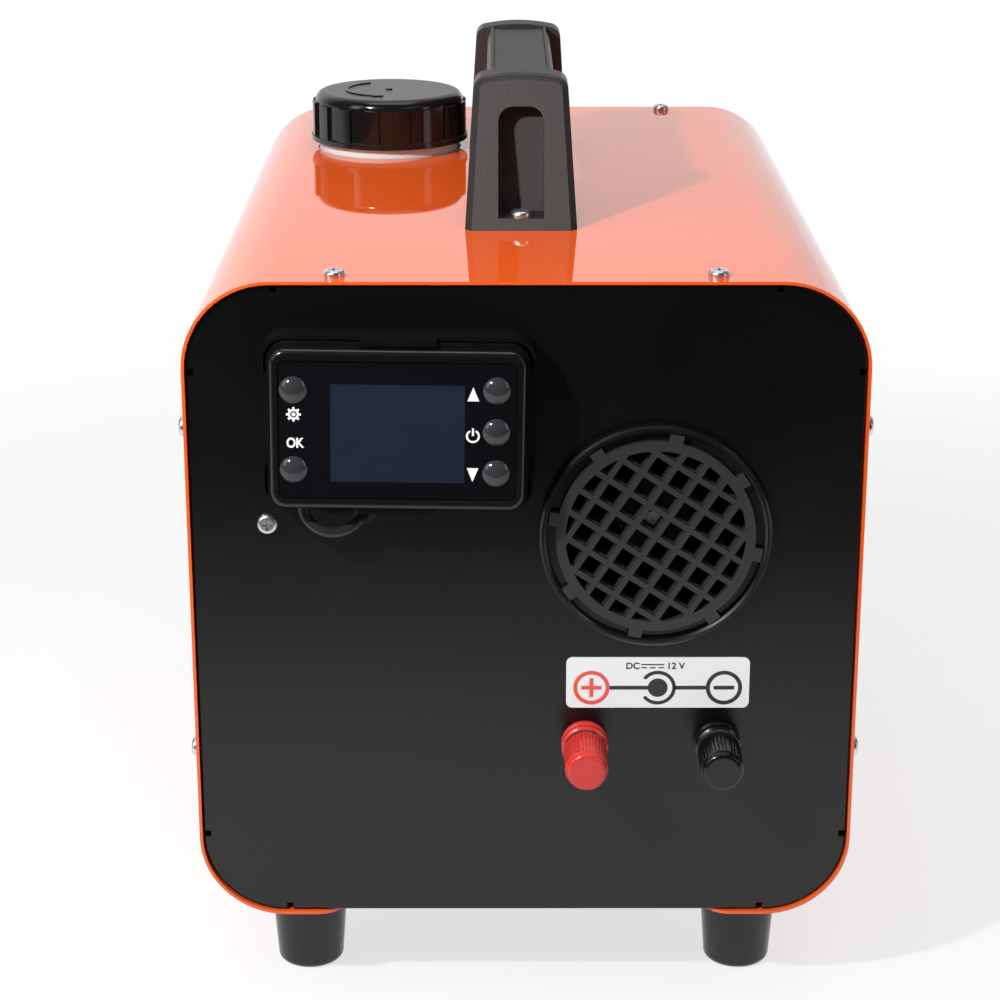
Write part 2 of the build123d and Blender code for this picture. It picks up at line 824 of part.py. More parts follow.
def make_intake_grille():
    front = front_face - grille_front
    step = front + grille_step
    rear = front + grille_depth
    rim = turned_y([
        (grille_window_radius, front), (grille_radius, front), (grille_radius, step),
        (grille_window_radius + grille_skirt, step), (grille_window_radius + grille_skirt, rear),
        (grille_window_radius, rear),
    ])
    bars = []
    count = int(grille_window_radius // bar_pitch)
    span = 2 * grille_radius
    for turn in (bar_angle, bar_angle + 90):
        for place in range(-count, count + 1):
            offset = place * bar_pitch
            thin = Pos(offset, (front + step) / 2, 0) * Box(bar_width, step - front, span)
            thick = Pos(offset, (step + rear) / 2, 0) * Box(bar_back_width, rear - step, span)
            bars.append(Rot(0, turn, 0) * (thin + thick))
    net = Part() + bars
    net &= rod_y(0, 0, front, rear, grille_window_radius + grille_skirt / 2)
    grille = rim + net
    hook_rear = front_face - ring_floor - fit_gap
    for index in range(tab_count):
        turn = tab_angle + index * 360 / tab_count
        tab = block(grille_radius - 1, tab_reach, front, step, -tab_width / 2, tab_width / 2)
        tab += block(tab_reach - 1.4, tab_reach, front, hook_rear, -tab_width / 2, tab_width / 2)
        grille += Rot(0, -turn, 0) * tab
    return Pos(intake_x, 0, intake_z) * grille


# Polarity plate and binding posts

def make_polarity_label():
    plate = RectangleRounded(plate_width, plate_tall, plate_radius)
    return along_y(Pos(plate_x, case_bottom + plate_height) * plate, front_face - plate_thickness, front_face)


collar_front = front_face - collar_length
washer_rear = collar_front - fit_gap
washer_front = washer_rear - washer_thickness
knob_rear = washer_front - fit_gap
knob_front = knob_rear - knob_length
collar_inside = front_inside + 3.0
nut_rear = collar_inside + nut_height


def make_collar(x):
    groove = collar_length * 0.42
    profile = [
        (stud_radius, collar_front), (collar_radius - 1.0, collar_front), (collar_radius, collar_front + 1.0),
        (collar_radius, front_face - groove - 0.8), (collar_radius - collar_groove, front_face - groove),
        (collar_radius - collar_groove, front_face - groove + 0.8),
        (collar_radius, front_face - groove + 1.6),
        (collar_radius, front_face), (collar_neck_radius, front_face), (collar_neck_radius, front_inside),
        (collar_radius - 1, front_inside), (collar_radius - 1, collar_inside), (stud_radius, collar_inside),
    ]
    return Pos(x, 0, post_z) * turned_y(profile)


def make_terminal_studs():
    front = knob_rear - knob_bore_depth + 2
    return group(rod_y(x, post_z, front, front_inside + stud_rear, stud_radius)
                 for x in post_places.values())


def make_terminal_nuts():
    nut = along_y(hexagon(nut_flats), collar_inside, nut_rear)
    nut -= rod_y(0, 0, collar_inside - 1, nut_rear + 1, stud_radius)
    return group(Pos(x, 0, post_z) * nut for x in post_places.values())


def make_post_washer(x):
    washer = rod_y(x, post_z, washer_front, washer_rear, washer_radius)
    return washer - rod_y(x, post_z, washer_front - 1, washer_rear + 1, stud_radius + stud_fit)


def make_post_knob(x):
    knurl_front = knob_rear - knob_knurl_length
    knob = turned_y([
        (0, knob_rear), (knob_radius - 0.8, knob_rear), (knob_radius, knob_rear - 0.8),
        (knob_radius - knob_taper, knurl_front + 0.6), (knob_end_radius + 0.1, knurl_front),
        (knob_end_radius, knob_front), (0, knob_front),
    ])
    end_edge = knob.edges().filter_by(GeomType.CIRCLE).sort_by(Axis.Y)[0]
    knob = fillet(end_edge, knob_end_round)
    groove = knob_rib_depth * math.sqrt(2)
    cutter = Pos(knob_radius, 0, 0) * Rot(0, 45, 0) * Box(groove, knob_knurl_length, groove)
    cutter = Pos(0, knob_rear - knob_knurl_length / 2 + 0.4, 0) * cutter
    knob -= [Rot(0, index * 360 / knob_rib_count, 0) * cutter for index in range(knob_rib_count)]
    knob -= rod_y(0, 0, knob_rear - knob_bore_depth, knob_rear + 1, stud_radius + stud_fit)
    return Pos(x, 0, post_z) * knob


# Fuel tank and cap

def tank_section(grow):
    """The tank's section in X and Z, rounder on the side that faces the case's corners."""
    width = tank_right - tank_left + 2 * grow
    tall = tank_top - tank_bottom + 2 * grow
    section = Pos((tank_left + tank_right) / 2, (tank_top + tank_bottom) / 2) * Rectangle(width, tall)
    section = fillet(section.vertices().sort_by(Axis.X)[:2], tank_shell_round + grow)
    return fillet(section.vertices().sort_by(Axis.X)[-2:], tank_round + grow)


def make_fuel_tank():
    outer = along_y(tank_section(0), tank_front, tank_rear)
    ends = outer.faces().filter_by(Axis.Y)
    outer = fillet(ends[0].edges() + ends[1].edges(), tank_end_round)
    inner = along_y(tank_section(-tank_wall), tank_front + tank_wall, tank_rear - tank_wall)
    ends = inner.faces().filter_by(Axis.Y)
    inner = fillet(ends[0].edges() + ends[1].edges(), tank_end_round - tank_wall)
    tank = outer + rod_z(cap_x, cap_y, tank_top - tank_wall, neck_top, neck_radius)
    tank -= inner
    tank -= rod_z(cap_x, cap_y, tank_top - 2 * tank_wall, neck_top + 1, neck_radius - neck_wall)
    pickup_z = tray_top + pickup_height
    return tank - rod_y(filter_x, pickup_z, tank_front - 1, tank_front + tank_wall + 1, barb_radius)


def make_tank_straps():
    """Two bands round the tank, each with a foot on the tray."""
    band = tank_section(fit_gap + strap_sheet) - tank_section(fit_gap)
    foot_x_low = tank_right - tank_round
    foot_x_high = tank_right + fit_gap + strap_foot
    straps = []
    for y in strap_places:
        ends = (y - strap_width / 2, y + strap_width / 2)
        foot = block(foot_x_low, foot_x_high, *ends, tray_top, tray_top + strap_sheet)
        straps.append(along_y(band, *ends) + foot)
    return group(straps)


def make_cap_gasket():
    low = neck_top + fit_gap
    ring = rod_z(cap_x, cap_y, low, low + gasket_thickness, neck_radius - 0.4)
    return ring - rod_z(cap_x, cap_y, low - 1, low + gasket_thickness + 1, neck_radius - neck_wall)


def make_fuel_cap():
    low = cap_lift_off_case
    flange_top = low + cap_flange_height
    bore = neck_radius + cap_clearance
    ceiling = neck_above_case + fit_gap + gasket_thickness + cap_ceiling_gap
    cap = turned_z([
        (bore, low), (cap_flange_radius, low), (cap_flange_radius, flange_top),
        (cap_skirt_radius, flange_top + 0.6), (cap_skirt_radius, cap_height), (0, cap_height),
        (0, ceiling), (bore, ceiling),
    ])
    rim = [edge for edge in cap.edges().filter_by(GeomType.CIRCLE) if edge.center().Z > cap_height - 0.1]
    cap = fillet(rim, cap_dome_round)
    pitch = 2 * math.pi * cap_pad_radius / cap_pad_count
    pad_width = pitch * cap_pad_share
    pads = rod_z(0, 0, flange_top - 0.2, cap_pad_top, cap_pad_radius)
    pads -= rod_z(0, 0, low, cap_height, cap_skirt_radius - 0.5)
    wedges = []
    for index in range(cap_pad_count):
        wedge = block(cap_skirt_radius - 2, cap_pad_radius + 1, -pad_width / 2, pad_width / 2,
                      low, cap_pad_top)
        wedges.append(Rot(0, 0, (index + 0.5) * 360 / cap_pad_count) * wedge)
    cap += pads & (Part() + wedges)
    arrow = Pos(0, 0, cap_height - 0.2) * Rot(0, 0, arrow_heading) * turn_arrow()
    cap += extrude(arrow, amount=arrow_rise + 0.2)
    cap += rod_z(0, 0, cap_height - 0.2, cap_height + arrow_rise, 1.6)
    return Pos(cap_x, cap_y, case_top) * cap


def turn_arrow():
    """A curved arrow with a head at one end, before it is turned to its heading."""
    reach = arrow_half_angle
    band = Circle(arrow_radius + arrow_width / 2) - Circle(arrow_radius - arrow_width / 2)
    far = 3 * arrow_radius
    left = (-far * math.sin(math.radians(reach)), -far * math.cos(math.radians(reach)))
    band &= polygon([(0, 0), left, (0, -2 * far), (-left[0], left[1])])
    head = polygon([(-arrow_width * 1.6, 0), (arrow_width * 1.6, 0), (0, arrow_width * 3)])
    angle = math.radians(reach)
    end = Pos(arrow_radius * math.sin(angle), -arrow_radius * math.cos(angle))
    return band + end * Rot(0, 0, reach - 90) * head


# Heater unit

def heater_outline(inset):
    return Pos(intake_x, intake_z) * RectangleRounded(
        heater_width - 2 * inset, heater_tall - 2 * inset, heater_radius - inset)


def make_heater_casing():
    casing = along_y(heater_outline(0), heater_front, heater_rear)
    casing -= along_y(heater_outline(heater_wall), heater_front + heater_wall, heater_rear - heater_wall)
    casing -= rod_y(intake_x, intake_z, heater_front - 1, heater_front + heater_wall + 1, heater_mouth_radius)
    casing -= rod_y(intake_x, intake_z, heater_rear - heater_wall - 1, heater_rear + 1, heater_outlet_radius)
    return casing


def make_lower_casing(casing):
    half = casing & block(intake_x - heater_width, intake_x + heater_width, heater_front - 1, heater_rear + 1,
                          heater_bottom - 1, intake_z)
    for y, radius in ((exhaust_y, exhaust_radius), (air_y, air_radius)):
        half -= rod_z(intake_x, y, heater_bottom - 1, intake_z, radius + socket_wall + fit_gap)
    return half - rod_z(feed_x, feed_y, heater_bottom - 1, intake_z, hose_radius)


def make_upper_casing(casing):
    return casing & block(intake_x - heater_width, intake_x + heater_width, heater_front - 1, heater_rear + 1,
                          intake_z, intake_z + heater_tall)


def make_heat_exchanger():
    cup_front = motor_rear + motor_flange
    body = rod_y(intake_x, intake_z, cup_front, core_front, motor_flange_radius)
    body += rod_y(intake_x, intake_z, core_front - 1, core_rear, core_radius)
    reach = heater_tall
    fins = []
    for index in range(fin_count):
        fin = block(core_radius - 1, reach, core_front, core_rear, -fin_thickness / 2, fin_thickness / 2)
        fins.append(Pos(intake_x, 0, intake_z) * Rot(0, (index + 0.5) * 360 / fin_count, 0) * fin)
    fins = Part() + fins
    fins &= along_y(heater_outline(heater_wall + fin_gap), core_front, core_rear)
    body += fins
    socket_low = heater_bottom - 3
    for y, radius in ((exhaust_y, exhaust_radius), (air_y, air_radius)):
        body += rod_z(intake_x, y, socket_low, intake_z - core_radius + core_wall, radius + socket_wall)
    body += block(feed_x, intake_x, feed_y - 6, feed_y + 6, intake_z - 40, intake_z - 28) & rod_y(
        intake_x, intake_z, feed_y - 6, feed_y + 6, heater_width / 2 - fin_gap - heater_wall)
    body += rod_z(feed_x, feed_y, heater_bottom - spigot_length, intake_z - 34, barb_radius)
    body -= rod_y(intake_x, intake_z, cup_front - 1, core_front - cup_wall, motor_flange_radius - cup_wall)
    body -= rod_y(intake_x, intake_z, core_front, core_rear - core_wall, core_radius - core_wall)
    body -= rod_y(intake_x, intake_z, core_front - 2 * cup_wall, core_front + 1, burner_radius)
    for y, radius in ((exhaust_y, exhaust_radius), (air_y, air_radius)):
        body -= rod_z(intake_x, y, socket_low - 1, socket_low + socket_depth, radius)
        body -= rod_z(intake_x, y, socket_low, intake_z - core_radius + core_wall + 2, radius - pipe_wall)
    glow_top = intake_z + core_radius + 10
    body += rod_z(intake_x, core_front + 20, intake_z + core_radius - core_wall, glow_top, glow_radius + 4)
    body -= rod_z(intake_x, core_front + 20, glow_top, intake_z + heater_tall / 2, glow_flats / 2 + 3)
    return body - rod_z(intake_x, core_front + 20, intake_z + 20, glow_top + 1, glow_radius)


def make_burner_tube():
    front = core_front - cup_wall
    tube = rod_y(intake_x, intake_z, front, front + burner_length, burner_radius)
    tube -= rod_y(intake_x, intake_z, front - 1, front + burner_length + 1, burner_radius - burner_wall)
    holes = []
    for row in range(3):
        for index in range(8):
            spin = Pos(intake_x, 0, intake_z) * Rot(0, 22.5 + index * 45, 0)
            holes.append(spin * rod_z(0, front + 35 + row * 18, burner_radius - 4, burner_radius + 2, 2.5))
    tube -= holes
    return tube - rod_z(intake_x, core_front + 20, intake_z, intake_z + core_radius, glow_radius + fit_gap)


def make_glow_plug():
    top = intake_z + core_radius + 10
    plug = rod_z(intake_x, core_front + 20, top + 6 - glow_length, top, glow_radius)
    return plug + Pos(intake_x, core_front + 20, top) * extrude(hexagon(glow_flats), amount=5)


def make_fan_wheel():
    hub = rod_y(0, 0, fan_front, fan_front + fan_depth, fan_hub_radius)
    hub = fillet(hub.edges().filter_by(GeomType.CIRCLE).sort_by(Axis.Y)[0], 4)
    blade = Pos(0, fan_front + fan_depth / 2, fan_radius / 2 + 6) * Rot(0, 0, 38) * Box(17, 1.6, fan_radius)
    wheel = hub + [Rot(0, index * 360 / fan_blades, 0) * blade for index in range(fan_blades)]
    wheel &= rod_y(0, 0, fan_front, fan_front + fan_depth, fan_radius)
    wheel -= rod_y(0, 0, fan_front - 1, fan_front + fan_depth + 1, shaft_radius)
    return Pos(intake_x, 0, intake_z) * wheel


def make_fan_nut():
    front = fan_front - 5
    nut = along_y(hexagon(nut_flats), front, fan_front) - rod_y(0, 0, front - 1, fan_front + 1, shaft_radius)
    return Pos(intake_x, 0, intake_z) * nut


def make_motor_shaft():
    rear = motor_rear + motor_flange + 6 + wheel_depth
    return rod_y(intake_x, intake_z, fan_front - 6.5, rear, shaft_radius)


def make_blower_motor():
    motor = rod_y(0, 0, motor_front, motor_rear, motor_radius)
    motor = fillet(motor.edges().filter_by(GeomType.CIRCLE).sort_by(Axis.Y)[0], 4)
    motor += rod_y(0, 0, motor_front - 3, motor_front, 8)
    motor += rod_y(0, 0, motor_rear, motor_rear + motor_flange, motor_flange_radius)
    motor -= rod_y(0, 0, motor_front - 4, motor_rear + motor_flange + 1, shaft_radius + shaft_fit)
    return Pos(intake_x, 0, intake_z) * motor


def make_combustion_wheel():
    front = motor_rear + motor_flange + 6
    rear = front + wheel_depth
    wheel = rod_y(0, 0, front, rear, 8) + rod_y(0, 0, rear - 2, rear, wheel_radius)
    vane = block(-0.8, 0.8, front + 3, rear - 1, 14, wheel_radius)
    wheel += [Rot(0, index * 360 / wheel_blades, 0) * vane for index in range(wheel_blades)]
    wheel -= rod_y(0, 0, front - 1, rear + 1, shaft_radius)
    return Pos(intake_x, 0, intake_z) * wheel


def make_heater_bracket():
    left = intake_x - heater_width / 2 + bracket_leg_inset
    right = intake_x + heater_width / 2 - bracket_leg_inset
    y_low = air_y - 45
    y_high = exhaust_y + 45
    under = bracket_top - bracket_sheet
    bracket = block(left, right, y_low, y_high, under, bracket_top)
    for x_low, inward in ((left, 1), (right - bracket_sheet, -1)):
        bracket += block(x_low, x_low + bracket_sheet, 0, y_high, tray_top, bracket_top)
        turned = sorted((x_low + bracket_sheet / 2, x_low + bracket_sheet / 2 + inward * 16))
        bracket += block(*turned, 0, y_high, tray_top, tray_top + bracket_sheet)
        bracket += block(x_low, x_low + bracket_sheet, y_low, y_low + 16, tray_top, bracket_top)
        bracket += block(*turned, y_low, y_low + 16, tray_top, tray_top + bracket_sheet)
    for y, radius in ((exhaust_y, exhaust_radius), (air_y, air_radius)):
        bracket -= rod_z(intake_x, y, under - 1, bracket_top + 1, radius + socket_wall + fit_gap)
    return bracket - rod_z(feed_x, feed_y, under - 1, bracket_top + 1, hose_radius + 1)


def make_pipe(y, radius):
    top = heater_bottom - 3 + socket_depth
    pipe = rod_z(intake_x, y, pipe_floor_gap, top, radius)
    pipe += rod_z(intake_x, y, tray_bottom - pipe_collar, tray_bottom, radius + pipe_collar_rise)
    return pipe - rod_z(intake_x, y, pipe_floor_gap - 1, top + 1, radius - pipe_wall)


def make_outlet_spigot():
    front = heater_rear + fit_gap
    rear = rear_edge + outlet_reach
    spigot = turned_y([
        (outlet_radius - outlet_wall, front), (outlet_radius, front), (outlet_radius, rear_face),
        (outlet_flange_radius, rear_face), (outlet_flange_radius, rear_face + outlet_flange),
        (outlet_radius, rear_face + outlet_flange), (outlet_radius, rear),
        (outlet_radius - outlet_wall, rear),
    ])
    return Pos(intake_x, 0, intake_z) * spigot


# Fuel feed

feed_z = tray_top + feed_height
filter_front = filter_y - filter_length / 2
filter_back = filter_y + filter_length / 2
pump_front = pump_y - pump_length / 2
pump_back = pump_y + pump_length / 2


def make_pickup_fitting():
    z = tray_top + pickup_height
    fitting = rod_y(filter_x, z, tank_front - 4, tank_front, 6)
    fitting += rod_y(filter_x, z, tank_front, tank_front + tank_wall + 4, barb_radius)
    return fitting + rod_y(filter_x, z, tank_front - spigot_length, tank_front - 4, barb_radius)


def make_fuel_filter():
    z = tray_top + pickup_height
    body = rod_y(filter_x, z, filter_front, filter_back, filter_radius)
    body = fillet(body.edges().filter_by(GeomType.CIRCLE), 3)
    return body + rod_y(filter_x, z, filter_front - spigot_length, filter_back + spigot_length, barb_radius)


def make_fuel_pump():
    body = rod_y(pump_x, feed_z, pump_front, pump_back, pump_radius)
    body = fillet(body.edges().filter_by(GeomType.CIRCLE), 3)
    return body + rod_y(pump_x, feed_z, pump_front - spigot_length, pump_back + spigot_length, barb_radius)


def make_pump_clamp():
    ring = rod_y(pump_x, feed_z, pump_y - clamp_width / 2, pump_y + clamp_width / 2, pump_radius + clamp_wall)
    foot = block(pump_x - 26, pump_x + 26, pump_y - clamp_width / 2, pump_y + clamp_width / 2,
                 tray_top, tray_top + clamp_wall)
    neck = block(pump_x - 8, pump_x + 8, pump_y - clamp_width / 2, pump_y + clamp_width / 2, tray_top, feed_z)
    clamp = ring + foot + neck
    return clamp - rod_y(pump_x, feed_z, pump_y - clamp_width, pump_y + clamp_width, pump_radius)


def make_fuel_hoses():
    """Tank to filter, filter to pump, and pump to burner."""
    low_z = tray_top + pickup_height
    filter_reach = filter_front - spigot_length + hose_overlap
    pump_reach = pump_front - spigot_length + hose_overlap
    turn_y = pump_front - hose_turn_reach
    suction = [(filter_x, tank_front - spigot_length + hose_overlap, low_z),
               (filter_x, filter_back + spigot_length - hose_overlap, low_z)]
    suction_tube = rod_y(filter_x, low_z, suction[1][1], suction[0][1], hose_radius)
    suction_tube -= rod_y(filter_x, low_z, suction[1][1] - 1, suction[0][1] + 1, barb_radius)
    middle = [(filter_x, filter_reach, low_z), (filter_x, turn_y, low_z),
              (pump_x, turn_y, feed_z), (pump_x, pump_reach, feed_z)]
    delivery_start = pump_back + spigot_length - hose_overlap
    delivery = [(pump_x, delivery_start, feed_z), (pump_x, hose_lane_y, feed_z),
                (feed_x, hose_lane_y, feed_z), (feed_x, feed_y, feed_z),
                (feed_x, feed_y, heater_bottom - spigot_length + hose_overlap)]
    middle_tube = tube_route(middle, [17, 17], hose_radius, barb_radius)
    delivery_tube = tube_route(delivery, [8, 14, 10], hose_radius, barb_radius)
    return group([suction_tube, middle_tube, delivery_tube])


# Control unit and power leads

def make_control_unit():
    low = case_bottom + control_low
    unit = block(control_left, control_left + control_width, front_inside, front_inside + control_depth,
                 low, low + control_tall)
    unit = fillet(unit.edges().filter_by(Axis.Y), 4)
    ear_top = case_bottom + panel_screw_height + 8
    unit += block(panel_screw_x - 8, panel_screw_x + 8, front_inside, front_inside + ear_sheet,
                  low + control_tall - 1, ear_top)
    return unit - rod_y(panel_screw_x, case_bottom + panel_screw_height, front_inside - 1,
                        front_inside + ear_sheet + 1, screw_radius)


def make_power_leads():
    leads = []
    unit_side = control_left + control_width
    wire_y = front_inside + control_depth / 2
    stud_back = front_inside + stud_rear
    for index, x in enumerate(post_places.values()):
        run_y = stud_back + 12 + 7 * index
        corner_x = unit_side + 14 + 8 * index
        end_z = case_bottom + control_low + 10 + 10 * index
        points = [(x, stud_back, post_z), (x, run_y, post_z), (corner_x, run_y, post_z),
                  (corner_x, wire_y, end_z), (unit_side, wire_y, end_z)]
        leads.append(tube_route(points, [wire_bend] * 3, wire_radius))
    return group(leads)


def main():
    save("case_shell", make_case_shell())
    save("front_panel", make_front_panel())
    save("rear_panel", make_rear_panel())
    save("base_tray", make_base_tray())
    for name, (x, y) in foot_places.items():
        save(name, Pos(x, y, 0) * make_foot())
    save("foot_screws", make_foot_screws())
    save("case_screws", make_case_screws())
    save("carry_handle", make_carry_handle())
    save("controller_bracket", make_controller_bracket())
    save("controller_back", make_controller_back())
    save("controller_bezel", make_controller_bezel())
    save("display_window", make_display_window())
    save("display_panel", make_display_panel())
    save("controller_board", make_controller_board())
    for name, (x, z) in button_places.items():
        save(name, make_button(x, z))
    save("controller_cable", make_controller_cable())
    save("cable_grommet", make_cable_grommet())
    save("intake_ring", make_intake_ring())
    save("intake_grille", make_intake_grille())
    save("polarity_label", make_polarity_label())
    for name, x in post_places.items():
        save(f"{name}_collar", make_collar(x))
        save(f"{name}_washer", make_post_washer(x))
        save(f"{name}_knob", make_post_knob(x))
    save("terminal_studs", make_terminal_studs())
    save("terminal_nuts", make_terminal_nuts())
    save("fuel_tank", make_fuel_tank())
    save("tank_straps", make_tank_straps())
    save("cap_gasket", make_cap_gasket())
    save("fuel_cap", make_fuel_cap())
    casing = make_heater_casing()
    save("heater_lower_casing", make_lower_casing(casing))
    save("heater_upper_casing", make_upper_casing(casing))
    save("heat_exchanger", make_heat_exchanger())
    save("burner_tube", make_burner_tube())
    save("glow_plug", make_glow_plug())
    save("fan_wheel", make_fan_wheel())
    save("fan_nut", make_fan_nut())
    save("motor_shaft", make_motor_shaft())
    save("blower_motor", make_blower_motor())
    save("combustion_wheel", make_combustion_wheel())
    save("heater_bracket", make_heater_bracket())
    save("exhaust_pipe", make_pipe(exhaust_y, exhaust_radius))
    save("air_pipe", make_pipe(air_y, air_radius))
    save("outlet_spigot", make_outlet_spigot())
    save("pickup_fitting", make_pickup_fitting())
    save("fuel_filter", make_fuel_filter())
    save("fuel_pump", make_fuel_pump())
    save("pump_clamp", make_pump_clamp())
    save("fuel_hoses", make_fuel_hoses())
    save("control_unit", make_control_unit())
    save("power_leads", make_power_leads())


main()
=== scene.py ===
"""Portable diesel space heater: its finishes, printed marks and controller lead, and a plain studio."""
import math
import bpy
from bpy.props import FloatProperty, FloatVectorProperty, PointerProperty
from mathutils import Euler, Matrix, Vector


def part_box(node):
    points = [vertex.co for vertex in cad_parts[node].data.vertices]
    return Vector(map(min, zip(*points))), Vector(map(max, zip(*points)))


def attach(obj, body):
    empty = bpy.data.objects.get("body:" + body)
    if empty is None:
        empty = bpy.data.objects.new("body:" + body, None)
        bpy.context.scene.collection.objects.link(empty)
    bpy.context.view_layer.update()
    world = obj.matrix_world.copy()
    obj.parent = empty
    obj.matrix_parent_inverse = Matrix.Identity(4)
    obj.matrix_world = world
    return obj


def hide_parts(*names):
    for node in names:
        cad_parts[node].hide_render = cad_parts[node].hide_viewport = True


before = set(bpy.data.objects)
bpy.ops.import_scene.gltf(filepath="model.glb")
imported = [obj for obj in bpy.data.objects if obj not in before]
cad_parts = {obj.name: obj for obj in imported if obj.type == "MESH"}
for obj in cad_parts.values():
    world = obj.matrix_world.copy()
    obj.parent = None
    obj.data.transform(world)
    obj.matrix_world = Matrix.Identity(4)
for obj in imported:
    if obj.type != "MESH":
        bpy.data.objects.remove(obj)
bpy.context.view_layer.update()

bl_info = {
    "name": "Diesel space heater",
    "version": (1, 0, 0),
    "blender": (4, 5, 0),
    "location": "View3D > Sidebar > Heater",
    "description": "Dresses the heater's solids and sets up a plain studio",
    "category": "Object",
}

MM = 0.001


def length(name, description, default):
    return FloatProperty(name=name, description=description, default=default, subtype="DISTANCE",
                         unit="LENGTH")


def colour(name, description, default):
    return FloatVectorProperty(name=name, description=description, default=default, subtype="COLOR", size=3,
                               min=0.0, max=1.0)


def angle(name, description, degrees):
    return FloatProperty(name=name, description=description, default=math.radians(degrees), subtype="ANGLE",
                         unit="ROTATION")


class HeaterPaint(bpy.types.PropertyGroup):
    """Colours of the case and its mouldings."""

    case: colour("Case", "Gloss powder coat of the wrap", (0.80, 0.105, 0.014))
    plate: colour("Plates", "Semi-gloss powder coat of the end plates and the tray", (0.0020, 0.0020, 0.0023))
    handle: colour("Handle", "Grained plastic of the carry handle", (0.036, 0.0315, 0.0295))
    black: colour("Black plastic", "Gloss mouldings, the fuel cap and the feet", (0.006, 0.0052, 0.0052))
    grille: colour("Grille", "Satin plastic of the intake grille", (0.028, 0.028, 0.029))
    button: colour("Buttons", "Domed buttons of the controller", (0.028, 0.030, 0.033))
    screen: colour("Screen", "Unlit display behind the window", (0.0125, 0.019, 0.030))
    positive: colour("Positive post", "Red plastic of the positive post", (0.56, 0.036, 0.030))
    label: colour("Label", "Film of the polarity label", (0.84, 0.86, 0.86))
    tank: colour("Tank", "Natural polyethylene of the tank and its neck", (0.74, 0.75, 0.76))


class HeaterMarks(bpy.types.PropertyGroup):
    """Printed marks."""

    thickness: length("Ink thickness", "How far the print stands off its surface", 0.04 * MM)
    white: colour("White ink", "Marks on the display window", (0.86, 0.86, 0.86))
    red: colour("Red ink", "Positive mark on the label", (0.80, 0.10, 0.075))
    dark: colour("Dark ink", "The label's other marks", (0.035, 0.027, 0.026))
    stroke: length("Label stroke", "Width of the label's rings and bars", 1.6 * MM)
    line: length("Label line", "Width of the line that joins the label's marks", 1.6 * MM)
    ring: length("Label ring", "Outer radius of the label's rings", 7.15 * MM)
    dot: length("Label dot", "Radius of the dot at the label's middle", 3.9 * MM)
    spacing: length("Ring spacing", "From the dot to the centre of each ring", 26.0 * MM)
    drop: length("Mark drop", "How far the row of marks lies under the label's middle", 2.1 * MM)
    tilt: angle("Controller tilt", "How far the controller is turned on the front plate", 0.8)


class HeaterLead(bpy.types.PropertyGroup):
    """The controller's lead."""

    diameter: length("Diameter", "Outer diameter of the lead", 4.2 * MM)
    measured: length("Length", "Length of the lead between the housing and the grommet", 39.0 * MM)


class HeaterStudio(bpy.types.PropertyGroup):
    """Camera, lamps and floor."""

    camera: FloatVectorProperty(name="Camera", description="Place of the camera", size=3,
                                subtype="TRANSLATION", unit="LENGTH", default=(-0.0108, -1.1142, 0.5230))
    pitch: angle("Pitch", "How far the camera looks down", 18.514)
    yaw: angle("Yaw", "How far the camera is turned to the right", 0.053)
    lens: FloatProperty(name="Lens", description="Focal length in millimetres on a 36 mm sensor",
                        default=91.79)
    key_azimuth: angle("Key azimuth", "Where the key lamp stands, to the left of the front", 35.0)
    key_height: angle("Key height", "Height of the key lamp over the horizon", 30.0)
    key_distance: length("Key distance", "From the middle of the case's top to the key lamp", 1.0)
    key_power: FloatProperty(name="Key", description="Power of the key lamp in watts", default=9.5)
    key_size: length("Key size", "Width of the key lamp", 0.05)
    floor: colour("Floor", "Pale floor", (0.88, 0.88, 0.88))
    floor_glow: FloatProperty(name="Floor glow", description="Share of plain white in the lit floor",
                              default=0.72)
    floor_radius: length("Floor radius", "Where the lit floor gives way to the plain white ground", 1.0)


GROUPS = {
    "heater_paint": HeaterPaint,
    "heater_marks": HeaterMarks,
    "heater_lead": HeaterLead,
    "heater_studio": HeaterStudio,
}


class Field:
    """A number that varies over a surface. Python's operators on it add Math nodes."""

    def __init__(self, finish, socket):
        self.finish = finish
        self.socket = socket

    def math(self, operation, *values):
        return self.finish.node("ShaderNodeMath", {"operation": operation}, dict(enumerate(values)))

    def __add__(self, other):
        return self.math("ADD", self, other)

    __radd__ = __add__

    def __sub__(self, other):
        return self.math("SUBTRACT", self, other)

    def __rsub__(self, other):
        return self.math("SUBTRACT", other, self)

    def __mul__(self, other):
        return self.math("MULTIPLY", self, other)

    __rmul__ = __mul__

    def __pow__(self, other):
        return self.math("POWER", self, other)

    def __lt__(self, other):
        return self.math("LESS_THAN", self, other)

    def __abs__(self):
        return self.math("ABSOLUTE", self)

    def __or__(self, other):
        return self.math("MAXIMUM", self, other)

    def __and__(self, other):
        return self.math("MINIMUM", self, other)

    def between(self, low, high):
        """0 under low, 1 over high, and smooth on the way."""
        return self.finish.node("ShaderNodeMapRange", {"interpolation_type": "SMOOTHSTEP", "clamp": True},
                                {"Value": self, "From Min": low, "From Max": high})


